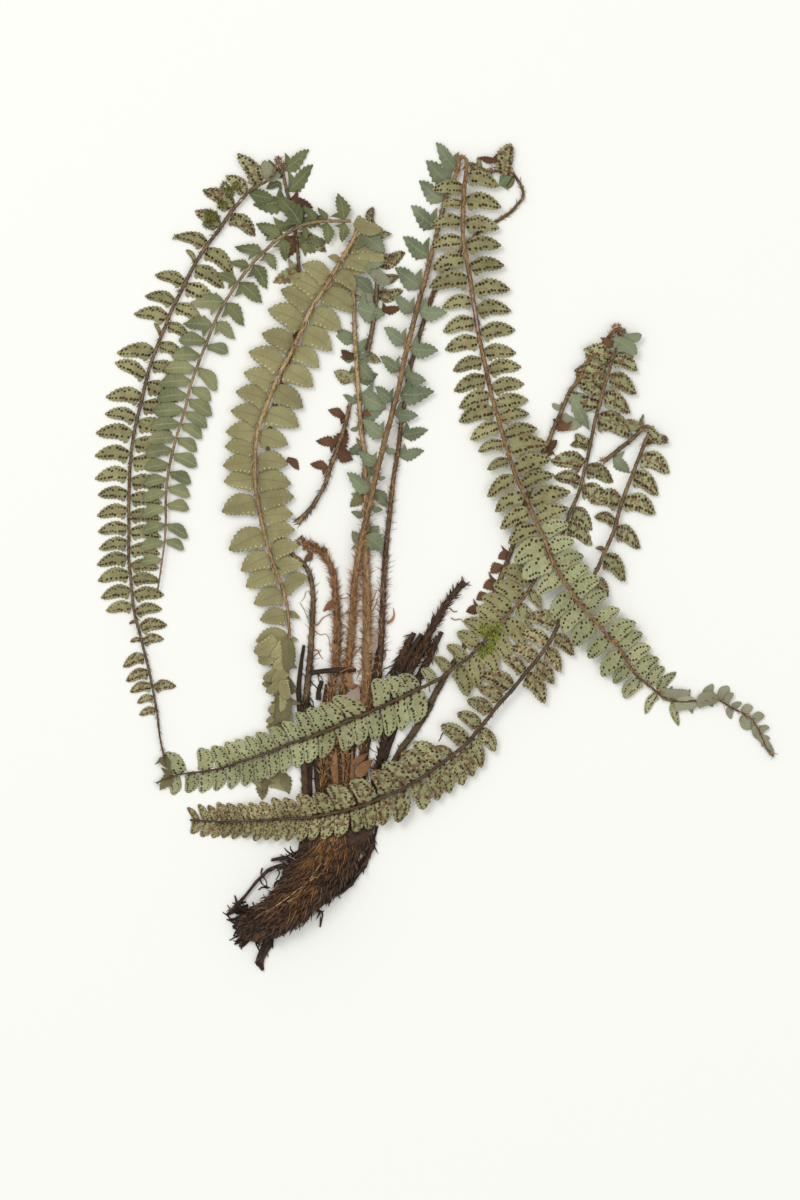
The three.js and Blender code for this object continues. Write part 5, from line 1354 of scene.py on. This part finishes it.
# %% [markdown]
# ## Scales and hairs
# This fern is shaggy. Papery brown scales cover the rhizome and the feet of the stipes, and fine hair-like
# ones run up the midribs. A hair system would not survive as a mesh, and by hand there are thousands. So one
# narrow pattern is scattered over a surface by a tree: each copy stands on the surface, points along the
# surface's flow, and gets its own length, lift and twist by chance. Where the surface says that it is bald,
# nothing grows.

# %% Make the scale pattern and the shag tree
def make_scale_pattern():
    """A slender pointed scale one unit long, with a low ridge, curving up a little."""
    rows = [(0.0, 0.30), (0.25, 0.5), (0.55, 0.40), (0.8, 0.2)]
    points, faces = [], []
    for along, half in rows:
        rise = 0.22 * along ** 2
        points += [(along, -half, rise), (along, half, rise), (along, 0, rise + 0.12)]
    points.append((1.0, 0.0, 0.24))
    for row in range(len(rows) - 1):
        right, left, ridge = range(3 * row, 3 * row + 3)
        faces += [(right, right + 3, ridge + 3, ridge), (ridge, ridge + 3, left + 3, left),
                  (left, left + 3, right + 3, right)]
    right, left, ridge, tip = 9, 10, 11, 12
    faces += [(right, tip, ridge), (ridge, tip, left), (left, tip, right), (0, 2, 1)]
    return new_piece("scale_pattern", new_mesh("scale_pattern", points, faces=faces))


def build_shag_tree():
    """Scatters scales over a surface, lying along its flow."""
    tree, feed = new_geometry_tree("shag", [
        ("Pattern", "Object", None), ("Density", "Float", 2.0e6), ("Length", "Float", 3.0 * MM),
        ("Width", "Float", 0.5 * MM), ("Lift", "Float", 0.3), ("Spread", "Float", 0.5),
        ("Lowest", "Float", 0.05 * MM), ("Seed", "Int", 0),
    ])

    def chance(low, high, salt):
        """A number by chance for each point."""
        plugs = {2: low, 3: high, "Seed": salt}
        return Value(tree, add_node(tree, "FunctionNodeRandomValue", plugs, data_type="FLOAT").outputs[1])

    density = feed["Density"] * named(tree, "shag")
    points = add_node(
        tree, "GeometryNodeDistributePointsOnFaces",
        {"Mesh": feed["Geometry"], "Density": density, "Seed": feed["Seed"]},
    )
    upright = add_node(
        tree, "FunctionNodeAlignRotationToVector", {"Vector": points.outputs["Normal"]}, axis="Z"
    )
    combed = add_node(
        tree, "FunctionNodeAlignRotationToVector",
        {"Rotation": upright, "Vector": named(tree, "flow", "FLOAT_VECTOR")}, axis="X", pivot_axis="Z",
    )
    pitch = chance(0.0, 1.0, 3) * feed["Lift"] * -1.0
    turn = joined(tree, chance(-0.5, 0.5, 5), pitch, chance(feed["Spread"] * -1.0, feed["Spread"], 7))
    tossed = add_node(
        tree, "FunctionNodeRotateRotation", {"Rotation": combed, "Rotate By": turn}, rotation_space="LOCAL"
    )
    size = chance(0.5, 1.25, 11)
    wide = size * feed["Width"]
    tinted = store(tree, points, "tint", chance(0.0, 1.0, 13))
    scale = joined(tree, size * feed["Length"], wide, wide)
    copies = copies_of(tree, feed["Pattern"], tinted, Rotation=tossed, Scale=scale)
    moved = put_above(tree, copies, place_in(tree), feed["Lowest"])
    return close_tree(tree, feed, moved, smooth=False)


def shag(name, mesh, slot, finish, density, length, width, lift, spread, seed):
    """Scales on a mesh: how many per square metre, their length and width in mm, how they stand and turn."""
    return grow(
        name, mesh, shag_tree, slot, Pattern=scale_pattern, Density=density, Length=length * MM,
        Width=width * MM, Lift=lift, Spread=spread, Seed=seed, Finish=finish,
    )


def scale_finish(name, dark, light):
    """A papery finish whose tint differs from scale to scale."""
    material, tree = new_material(name)
    share = object_noise(tree, 700, 2) * 0.5 + painted_on(tree, "tint") * 0.75
    return surface(material, mix(tree, share.step(0.15, 1.0), linear(*dark), linear(*light)), 0.6, 0.35)


scale_pattern = make_scale_pattern()
shag_tree = build_shag_tree()
brown_scales = scale_finish("brown_scales", (58, 36, 22), (186, 140, 92))
golden_scales = scale_finish("golden_scales", (46, 29, 17), (158, 108, 60))
dark_scales = scale_finish("dark_scales", (34, 22, 15), (104, 72, 46))
print("shag tree:", len(shag_tree.nodes), "nodes")

# %% [markdown]
# ## Shaggy stalks
# Each stalk already knows its flow, the way its frond grows. We copy its mesh, say how shaggy it is at each
# point, and let the shag tree comb scales onto it. The stipes are thick with scales near their feet and get
# thinner coats higher up.

# %% Comb scales and hairs onto the stalks
def shaggy_copy(name, piece, share_at):
    """A copy of a piece's mesh that knows how shaggy each of its points is."""
    mesh = piece.data.copy()
    mesh.name = name
    set_attributes(mesh, shag=[share_at(vertex.co) for vertex in mesh.vertices])
    return mesh


def plan_y(place):
    """The plan's y of a place: small at the fold, large at the roots."""
    return PLAN_MIDDLE[1] - place.y / PLAN_UNIT


def hairiness(place):
    """Hairs are a little sparser on the midribs than on the stipes."""
    return 0.8 if plan_y(place) < STIPES_TOP else 1.0


STIPES_TOP = 560
# Each stalk's hairs: the finish, how many per square metre, and their length and width in mm.
HAIR_COATS = {
    "outer_left_stem": (dark_scales, 1.4e6, 1.7, 0.26),
    "second_left_stem": (brown_scales, 1.1e6, 1.3, 0.18),
    "third_stem": (brown_scales, 1.2e6, 2.2, 0.30),
    "long_right_stem": (brown_scales, 1.3e6, 2.4, 0.30),
    "hooked_stem": (brown_scales, 1.3e6, 2.2, 0.30),
    "small_centre_stem": (dark_scales, 1.5e6, 1.8, 0.30),
    "withered_stem": (dark_scales, 1.5e6, 2.0, 0.34),
    "upper_crossing_stem": (dark_scales, 1.3e6, 1.6, 0.26),
    "lower_crossing_stem": (dark_scales, 1.3e6, 1.5, 0.24),
    "curled_stipe": (brown_scales, 1.6e6, 2.8, 0.36),
    "old_stipe_a": (dark_scales, 1.2e6, 2.8, 0.6),
    "old_stipe_b": (dark_scales, 1.2e6, 2.8, 0.6),
    "old_stipe_c": (dark_scales, 1.2e6, 2.8, 0.6),
}
for seed, (name, (finish, density, length, width)) in enumerate(HAIR_COATS.items()):
    coat = shaggy_copy(name + "_coat", stalks[name], hairiness)
    slot = STALK_FINISHES[name][1]
    shag("hairs_of_" + name, coat, slot, finish, density, length, width, lift=0.75, spread=0.7, seed=seed)

# %% [markdown]
# ## Fuzz on the stipes
# Below the blades the stipes also have long hair-like scales, as fine as thread, that stand off in all
# directions. They are what makes a stipe's outline look soft. It is the same tree again with longer, thinner
# and more tangled copies, and a share that grows towards the crown.

# %% Let fine hairs grow on the stipes
def ramp(value, low, high):
    """0 below low, 1 above high, straight between."""
    return max(0.0, min(1.0, (value - low) / (high - low)))


def on_stipe(place):
    """How fuzzy a place is: only the stipes, which lie right of the hanging blades on the plan."""
    plan_x = PLAN_MIDDLE[0] + place.x / PLAN_UNIT
    return ramp(plan_y(place), *FUZZ_GROWS) if STIPES_LEFT < plan_x < STIPES_RIGHT else 0.0


# On the plan: between which y the fuzz sets in, and between which x the stipes lie.
FUZZ_GROWS = (470, 590)
STIPES_LEFT, STIPES_RIGHT = 303, 420
fuzz_scales = scale_finish("fuzz_scales", (96, 60, 36), (204, 158, 108))
# Each fuzzy stalk: its share of the fuzz, and the finish.
FUZZY = {
    "third_stem": (1.0, fuzz_scales), "long_right_stem": (1.0, fuzz_scales),
    "hooked_stem": (0.5, dark_scales),
    "curled_stipe": (1.0, brown_scales), "outer_left_stem": (0.3, dark_scales),
}
FUZZ_PER_SQUARE_METRE = 2.6e6
for seed, (name, (share, finish)) in enumerate(FUZZY.items()):
    fuzz = shaggy_copy(name + "_fuzz", stalks[name], on_stipe)
    slot, density = STALK_FINISHES[name][1], FUZZ_PER_SQUARE_METRE * share
    shag("fuzz_of_" + name, fuzz, slot, finish, density, 3.6, 0.16, lift=0.5, spread=1.5, seed=seed + 20)

# %% [markdown]
# ## The rhizome
# The rhizome is the fern's short stem: a thick tongue of old stipe bases, hidden under long brown scales.
# Sculpting its skin would take long. We take a merged copy of its solid and break its smoothness with noise,
# and the scales will hide most of it.

# %% Roughen the rhizome
from mathutils import noise
from mathutils.bvhtree import BVHTree
import bmesh

# Below this height the rhizome stays as flat as it was pressed.
SOLE_HEIGHT = 0.3 * MM
BUMPS_SCALE = 260
BUMP_HEIGHT = 0.7 * MM
DEEPEST_BUMP, HIGHEST_BUMP = -1 * MM, 0.3 * MM


def rough_rhizome():
    """A merged and finer copy of the rhizome's solid, with an uneven skin."""
    body = bmesh.new()
    body.from_mesh(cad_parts["rhizome"].data)
    bmesh.ops.remove_doubles(body, verts=body.verts, dist=1e-6)
    bmesh.ops.subdivide_edges(body, edges=body.edges[:], cuts=1, use_grid_fill=True)
    bmesh.ops.triangulate(body, faces=body.faces[:])
    body.normal_update()
    for vertex in body.verts:
        if vertex.co.z > SOLE_HEIGHT:
            bump = noise.fractal(vertex.co * BUMPS_SCALE, 1.0, 2.0, 3) * BUMP_HEIGHT
            vertex.co += vertex.normal * max(DEEPEST_BUMP, min(bump, HIGHEST_BUMP))
            vertex.co.z = max(vertex.co.z, 0.1 * MM)
    mesh = bpy.data.meshes.new("fine_rhizome")
    body.to_mesh(mesh)
    body.free()
    mesh.shade_smooth()
    mesh.materials.clear()
    return mesh


def rhizome_finish():
    """Dark fibrous skin."""
    material, tree = new_material("rhizome_skin")
    grain = object_noise(tree, 420, 5, 0.65)
    colour = mix(tree, grain.step(0.35, 0.7), linear(28, 18, 12), linear(86, 56, 33))
    return surface(material, colour, 0.8, 0.5, grain, 0.9, 0.6 * MM)


rhizome_mesh = rough_rhizome()
rhizome_mesh.materials.append(rhizome_finish())
finish_piece(new_piece("fine_rhizome", rhizome_mesh), "rhizome", "rhizome")
print("fine_rhizome", len(rhizome_mesh.polygons), "faces")

# %% [markdown]
# ## The rhizome's coats
# The scales all lie one way, from the crown to the growing roots, so they follow the rhizome's middle line.
# But they don't grow alike. Short dark ones cover the body, long golden ones lie in patches on top of it, and
# right below the crossing frond they look fresher. A small function for each coat says how thick it grows at
# a place, from 0 to 1, and the points of the mesh carry that number to the shag tree.

# %% Lay the rhizome's scales
# The middle line on the plan, and half the rhizome's width at each of its points.
RHIZOME_MIDDLE = table("341,812 338,834 331,853 320,871 306,888 291,904 274,917 258,927")
RHIZOME_HALF_WIDTHS = [38, 34, 31, 29, 27, 25, 22, 17]
# The plan y of the crossing frond's lower edge, where the coats begin.
BODY_TOP = 836


def along_rhizome(place):
    """The way the scales lie at a place, and how far to the right it is, in half widths of the rhizome."""
    points = [plan_place(*point) for point in RHIZOME_MIDDLE]
    best = None
    for i, (start, end) in enumerate(zip(points, points[1:])):
        way = (end - start).xy
        share = max(0.0, min(1.0, (place - start).xy.dot(way) / way.length_squared))
        off = (place.xy - (start.xy + way * share)).length
        half = (RHIZOME_HALF_WIDTHS[i] * (1 - share) + RHIZOME_HALF_WIDTHS[i + 1] * share) * PLAN_UNIT
        if best is None or off / half < abs(best[1]):
            right = 1 if way.cross((place - start).xy) > 0 else -1
            best = (way.normalized(), right * off / half)
    return best


def rhizome_coat(name, share_at):
    """The rhizome's mesh with the way its scales lie and where they grow."""
    mesh = rhizome_mesh.copy()
    mesh.name = name
    lie = [along_rhizome(vertex.co) for vertex in mesh.vertices]
    shares = [
        share_at(vertex, off) if vertex.normal.z > -0.2 else 0.0
        for vertex, (_, off) in zip(mesh.vertices, lie)
    ]
    set_attributes(mesh, flow=[(*way, 0) for way, _ in lie], shag=shares)
    return mesh


def dark_share(vertex, off):
    """Short dark scales on the body below the crossing frond, hardly any on the roots that stick out."""
    return ramp(plan_y(vertex.co), BODY_TOP, BODY_TOP + 10) * (1.0 if abs(off) < 1.08 else 0.04)


def golden_share(vertex, off):
    """Long fibres in patches on top of the body, not on its right flank, fewer near the growing end."""
    y = plan_y(vertex.co)
    patch = 0.04 + 0.96 * ramp(noise.noise(vertex.co * 210), -0.12, 0.1)
    flank = ramp(0.55 - off, 0.0, 0.25) * ramp(0.8 + off, 0.0, 0.25)
    return patch * flank * ramp(y, BODY_TOP, BODY_TOP + 8) * (1 - 0.85 * ramp(y, 892, 910))


def bright_share(vertex, off):
    """A patch of fresher, golden scales right below the crossing frond."""
    away = (vertex.co - plan_place(330, 846)).xy.length / PLAN_UNIT
    return ramp(plan_y(vertex.co), BODY_TOP - 4, BODY_TOP + 2) * ramp(17 - away, 0, 9)


black_scales = scale_finish("black_scales", (20, 14, 10), (92, 64, 42))
amber_scales = scale_finish("amber_scales", (86, 56, 30), (182, 132, 80))
RHIZOME_COATS = [
    # name, finish, share of growth by place, per square metre, length mm, width mm, lift, spread
    ("dark_coat", black_scales, dark_share, 1.9e6, 3.4, 0.75, 0.5, 0.6),
    ("golden_coat", golden_scales, golden_share, 2.8e6, 6.5, 0.32, 0.18, 0.6),
    ("bright_coat", amber_scales, bright_share, 4e6, 5.5, 0.34, 0.22, 0.4),
]
for seed, (name, finish, share_at, *growth) in enumerate(RHIZOME_COATS):
    shag("rhizome_" + name, rhizome_coat(name, share_at), "rhizome", finish, *growth, seed=seed + 40)

# %% [markdown]
# ## Rootlets and loose fibres
# Round the rhizome there are wiry rootlets, broken stubs and a few pale split fibres lying on top. Each is a
# path on the plan, from thick to thin. A path could be given heights by hand. Instead we drop every point of
# it onto whatever lies below, by looking down at the plain solids, so a fibre follows the lumps it lies on.

# %% Lay rootlets and fibres
# A strand's lowest place, the height that we look down from, and a strand's height beside its width.
STRAND_FLOOR = 0.02 * MM
LOOKOUT = 50 * MM
STRAND_FLATNESS = 0.85
# How far the plan points of a strand stray by chance, and how often its heights are eased.
WOBBLE = 0.25
EASING_ROUNDS = 3
TOP_VIEWS = [
    BVHTree.FromPolygons(
        [vertex.co for vertex in node.data.vertices], [face.vertices for face in node.data.polygons]
    )
    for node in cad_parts.values()
]


def top_height(place):
    """The height of the highest solid at a plan place, or of the floor."""
    start = Vector((place.x, place.y, LOOKOUT))
    hits = [tree.ray_cast(start, Vector((0, 0, -1)))[0] for tree in TOP_VIEWS]
    return max([hit.z for hit in hits if hit is not None], default=0.0)


def lay_strands(name, strands, finish, slot, seed=0, sink=0.35, sides=6, ceiling=20 * MM):
    """Grows strands given as (plan points, width at the start, width at the end), widths in mm."""
    chance = random.Random(seed)
    courses = []
    for points, thick, thin in strands:
        last = len(points) - 1
        plan = [
            [x + chance.uniform(-WOBBLE, WOBBLE), y + chance.uniform(-WOBBLE, WOBBLE),
             thick + (thin - thick) * i / last, 0]
            for i, (x, y) in enumerate(points)
        ]
        course = lay_course(plan, step=0.5 * MM)
        for sample in course:
            sample["height"] = sample["width"] * STRAND_FLATNESS
            height = min(top_height(sample["place"]), ceiling)
            sample["place"].z = max(STRAND_FLOOR, height - sink * sample["width"])
        for _ in range(EASING_ROUNDS):
            heights = [sample["place"].z for sample in course]
            for i in range(1, len(course) - 1):
                eased = heights[i] * 0.5 + (heights[i - 1] + heights[i + 1]) * 0.25
                course[i]["place"].z = max(eased, STRAND_FLOOR)
        courses.append(course)
    grow(name, course_mesh(name, courses), stalk_tree, slot, Sides=sides, Unevenness=0.5, Finish=finish)


def read_strands(text):
    """Strands parted by semicolons: the places of each on the plan, then its first and last width in mm."""
    read = [table(part) for part in text.split(";")]
    return [(rows[:-1], *rows[-1]) for rows in read]


ROOTLETS = read_strands("""
    296,857 288,852 284,848 0.9,0.3; 297,856 291,850 290,846 0.8,0.3; 298,853 293,853 288,855 0.8,0.3; 296,862
    286,857 278,858 271,861 1,0.5; 283,862 286,868 283,874 280,883 0.7,0.3; 276,866 279,873 276,880 0.6,0.3;
    262,868 261,874 266,881 267,889 0.6,0.3; 290,862 287,869 290,874 0.6,0.3; 268,888 262,887 258,890 0.8,0.4;
    260,878 262,884 270,888 0.6,0.3; 281,880 276,882 274,887 1,0.5; 286,875 281,878 280,884 1.2,0.5; 248,905
    240,908 233,912 227,915 1.1,0.8; 246,902 237,904 232,903 0.7,0.3; 236,909 230,908 227,905 0.6,0.3; 248,915
    240,921 235,927 1,0.5; 252,923 243,932 236,938 1,0.4; 252,928 242,935 233,936 0.7,0.3; 243,936 237,941
    233,941 0.6,0.3; 256,932 248,941 242,947 1.3,0.9; 260,930 255,936 257,942 262,940 0.7,0.4; 258,936 256,943
    259,951 0.8,0.4; 262,934 262,941 257,944 255,938 0.6,0.3; 266,940 261,938 256,941 0.6,0.3; 250,920 244,922
    239,928 1.2,0.5; 254,930 247,934 243,942 1.1,0.6; 306,912 301,919 296,922 0.9,0.4; 300,914 305,918 309,917
    0.8,0.4; 318,910 322,913 322,920 320,927 0.8,0.3; 314,908 319,912 324,911 0.6,0.3; 292,914 295,921 297,930
    0.5,0.25; 296,918 292,922 294,929 0.4,0.2; 364,857 356,868 352,876 343,886 1.2,0.9; 377,826 374,838
    368,851 362,860 357,863 1.1,0.7; 353,880 350,884 342,887 335,893 327,899 2.2,1; 330,896 324,903 318,908
    310,912 1.5,0.7; 331,902 325,900 320,905 1.2,0.5; 268,938 264,947 260,955 258,962 263,970 2.4,1.2; 259,958
    256,962 257,966 0.8,0.3; 262,950 267,953 268,957 0.5,0.3
""")
PALE_FIBRES = read_strands("""
    267,910 280,902 295,891 308,880 318,867 323,861 0.5,0.3; 288,900 300,893 311,883 0.4,0.25; 309,880 314,877
    317,870 0.45,0.3; 299,892 304,884 308,874 0.35,0.2; 318,866 326,862 325,857 0.4,0.25; 274,906 285,903
    296,896 0.35,0.2; 312,876 318,876 321,872 0.35,0.2
""")
root_skin = stalk_finish("root_skin", (34, 24, 18), (92, 64, 42), 0.9, 0.8)
pale_fibre = stalk_finish("pale_fibre", (168, 132, 88), (224, 198, 152), 0.4, 0.6)
lay_strands("rootlets", ROOTLETS, root_skin, "rhizome", seed=3)
lay_strands("pale_fibres", PALE_FIBRES, pale_fibre, "rhizome", seed=4, sink=-2.0)

# %% [markdown]
# ## Strands by chance
# The growing end of the rhizome is a bunch of broken roots, too many to draw one by one. We draw boxes on the
# plan instead. Each box says how many strands start in it, which way they go and how far they swing, and the
# seed decides the rest. A start that has no solid below it is left out.

# %% Scatter the bunch of roots
def scatter_strands(boxes, seed):
    """Bent strands that start on a solid by chance: box on the plan, count, way, swing, length, width."""
    chance = random.Random(seed)
    strands = []
    for left, upper, right, lower, count, way, swing, length, width in boxes:
        for _ in range(count):
            x, y = chance.uniform(left, right), chance.uniform(upper, lower)
            if top_height(plan_place(x, y)) < SOLE_HEIGHT:
                continue
            angle = math.radians(way + chance.uniform(-swing, swing))
            step = length * chance.uniform(0.5, 1.2) / STRAND_BENDS
            path = [(x, y)]
            for _ in range(STRAND_BENDS):
                angle += chance.uniform(-0.5, 0.5)
                x, y = x + step * math.cos(angle), y + step * math.sin(angle)
                path.append((x, y))
            thick = width * chance.uniform(0.6, 1.3)
            strands.append((path, thick, thick * 0.45))
    return strands


STRAND_BENDS = 4
# Left, upper, right and lower side of each box, count, way, swing, length and width. Ways and swings are in
# degrees on the plan, where 90 is down and 180 is left.
ROOT_BUNCH = [
    (238, 904, 262, 934, 70, 160, 50, 17, 1.1), (246, 912, 280, 934, 40, 110, 50, 15, 0.9),
    (262, 876, 286, 908, 30, 200, 50, 9, 0.7), (284, 846, 304, 870, 24, 200, 60, 9, 0.6),
    (316, 880, 340, 902, 24, 60, 60, 9, 0.7), (330, 840, 356, 884, 40, 110, 40, 10, 0.7),
]
lay_strands("root_bunch", scatter_strands(ROOT_BUNCH, 8), root_skin, "rhizome", seed=8, sink=-0.2, sides=5)

# %% [markdown]
# ## The crown
# Where the stipes leave the rhizome, last years' stipes have broken off short, and there are wide papery
# scales and long curled hairs between them. These fill the gaps that the living stipes leave. They are laid
# like the rootlets: each stub is a path that starts at the crown.

# %% Fill the crown with stubs, scales and curled hairs
CROWN_STUBS = read_strands("""
    322,818 318,790 316,760 319,735 2.6,1.8; 327,818 326,788 322,752 2.4,1.8; 340,818 340,785 339,745 342,722
    2.8,1.6; 354,818 352,792 352,760 356,738 2.4,1.8; 361,818 362,790 366,755 371,722 2.6,1.8; 370,818 374,786
    381,752 389,722 2.4,1.6; 312,816 310,790 311,760 2.2,1.6; 318,700 319,690 322,681 2,1.4; 324,712 325,698
    327,684 2.2,1.4; 300,712 299,690 301,666 304,645 2.2,1.2; 376,700 375,680 377,655 2.2,1.6; 400,672 410,652
    422,634 2.6,2; 408,676 420,656 430,640 2.4,1.6; 416,682 428,660 442,632 2.4,1.6; 412,668 424,650 436,646
    1.8,1.2; 384,760 392,738 398,722 2.2,1.6; 366,740 372,728 378,716 1.8,1; 330,812 331,776 328,738 2.2,1.4
""")
CURLED_HAIRS = read_strands("""
    330,610 326,607 324,612 0.9,0.2; 333,601 328,603 323,611 1.1,0.2; 313,626 318,624 323,618 331,614
    0.7,0.25; 314,630 320,635 326,634 329,640 330,650 0.3,0.2; 312,652 317,650 320,655 323,659 0.5,0.25;
    314,656 318,653 321,650 0.35,0.2; 387,623 391,621 394,615 393,608 1.4,0.2; 335,597 342,599 349,597
    0.4,0.2; 336,622 343,625 350,631 0.5,0.2; 338,618 345,614 350,608 0.45,0.2; 336,655 344,650 350,644
    0.6,0.25; 338,665 346,658 352,650 0.6,0.25; 340,672 350,668 360,672 0.5,0.25; 354,656 360,648 366,640
    0.5,0.25; 370,606 374,598 377,590 0.5,0.2; 372,612 376,604 378,596 0.45,0.2; 355,606 360,600 364,604
    0.35,0.2; 355,616 359,610 365,612 0.35,0.2; 384,650 386,655 384,660 0.4,0.2; 300,603 304,610 308,618
    0.3,0.2; 306,592 304,598 301,602 0.3,0.15; 450,608 454,612 457,611 0.6,0.3; 451,618 455,620 460,619
    464,623 0.5,0.25
""")
lay_strands(
    "crown_stubs", CROWN_STUBS, dead_stalk, "dead_stipe", seed=5, sink=0.2, sides=8, ceiling=0.5 * MM
)
curled_skin = stalk_finish("curled_scale", (140, 88, 48), (196, 140, 86), 0.3, 0.5)
lay_strands("curled_hairs", CURLED_HAIRS, curled_skin, "scaly_stipe", seed=6, sink=-0.3)
# Tangled hairs between the stipes, and dark fibres round their feet.
GOLDEN_MATS = [
    (335, 618, 353, 668, 26, 90, 50, 15, 0.26), (354, 584, 366, 600, 10, 90, 60, 11, 0.24),
    (354, 626, 366, 652, 18, 90, 50, 14, 0.26), (344, 664, 372, 706, 40, 95, 45, 15, 0.34),
    (330, 735, 372, 802, 60, 95, 25, 18, 0.36),
]
DARK_MATS = [
    (300, 660, 322, 716, 34, 92, 25, 17, 0.5), (322, 684, 346, 716, 26, 92, 30, 13, 0.5),
    (368, 640, 386, 712, 30, 95, 25, 16, 0.45), (306, 740, 378, 816, 90, 92, 22, 18, 0.55),
    (386, 640, 436, 712, 46, 122, 25, 15, 0.5), (420, 690, 446, 740, 12, 122, 25, 13, 0.45),
]
for name, boxes, finish in (("golden_mats", GOLDEN_MATS, curled_skin), ("dark_mats", DARK_MATS, root_skin)):
    lay_strands(
        name, scatter_strands(boxes, 9), finish, "scaly_stipe", seed=9, sink=-0.4, sides=4, ceiling=1.9 * MM
    )

# %% [markdown]
# ## Bare patches on two midribs
# On two midribs the scales have come off, and a pale waxy skin shows: lilac on the long right frond, tan on
# the outer left one. A patch could be a colour in the finish of the stalk. A thin skin laid on top keeps the
# finish simple, and it is one more strand.

# %% Lay the pale skins
lilac_wax = stalk_finish("lilac_wax", (150, 128, 122), (188, 170, 168), 0.6, 0.5)
bare_skin = stalk_finish("bare_skin", (158, 132, 106), (200, 178, 152), 0.5, 0.5)
LILAC_PATCH = read_strands("470,280 473,300 476,318 478,332 1.1,0.8")
BARE_PATCH = read_strands("242,200 237,205 231,212 1.1,0.9")
lay_strands("lilac_patch", LILAC_PATCH, lilac_wax, "midrib", sink=0.8)
lay_strands("bare_patch", BARE_PATCH, bare_skin, "midrib", sink=0.8)

# %% [markdown]
# ## Moss and knots of scales
# Moss grew on this fern where it hung: bright tufts on the upper crossing frond, darker ones by the left
# fold. At the folds themselves the dark scales have been pushed together into knots. All of these are low
# domes that are set on whatever lies below and then covered by the shag tree, with copies that stand up.

# %% Set the moss tufts and the knots
def tuft_mesh(name, tufts):
    """Low domes given by plan place and radius in mm, on top of the solids, whose scales lean outwards."""
    body = bmesh.new()
    flows = []
    for x, y, radius in tufts:
        middle = plan_place(x, y)
        middle.z = top_height(middle) + 0.2 * MM
        dome = bmesh.ops.create_icosphere(body, subdivisions=2, radius=radius * MM)["verts"]
        for vertex in dome:
            flows.append((vertex.co.x + 1e-5, vertex.co.y, 0))
            vertex.co = middle + vertex.co * Vector((1, 1, 0.45))
            vertex.co.z = max(vertex.co.z, 0.05 * MM)
    mesh = bpy.data.meshes.new(name)
    body.to_mesh(mesh)
    body.free()
    set_attributes(mesh, flow=flows, shag=[1.0] * len(flows))
    return mesh


# Where each tuft sits on the plan, and its radius in mm.
BRIGHT_MOSS = table("484,630,1.5 492,636,1.7 489,648,1.5 482,653,1.2 497,627,1.2 176,280,0.5")
DARK_MOSS = table("""
    208,224,1.4 214,217,1.5 209,214,1.2 222,205,1.4 229,193,1.5 225,186,1.1 236,187,1.2 176,237,0.6
""")
KNOTS = table("""
    278,160,0.8 282,165,0.8 616,328,1.1 621,333,1.2 612,335,0.9 645,429,0.8 461,159,0.6 366,230,0.7
    493,169,0.6 581,375,0.6 592,357,0.6 603,461,0.7 300,541,1.1 307,545,1.3 315,548,1.2 323,551,1.0
""")
bright_green = scale_finish("bright_moss", (82, 98, 18), (160, 168, 56))
dark_green = scale_finish("dark_moss", (58, 58, 24), (138, 136, 58))
TUFTS = [
    ("bright_moss", BRIGHT_MOSS, bright_green, "upper_face"),
    ("dark_moss", DARK_MOSS, dark_green, "upper_face"), ("scale_knots", KNOTS, brown_scales, "midrib"),
]
for seed, (name, tufts, finish, slot) in enumerate(TUFTS):
    shag(name, tuft_mesh(name, tufts), slot, finish, 9.0e6, 1.5, 0.3, lift=1.3, spread=1.6, seed=seed + 80)

# %% [markdown]
# ## Closing
# The patterns were only there to be copied, so they go.

# %% Clear the patterns
for pattern in [*patterns.values(), *sori_patterns.values(), scale_pattern]:
    bpy.data.objects.remove(pattern)
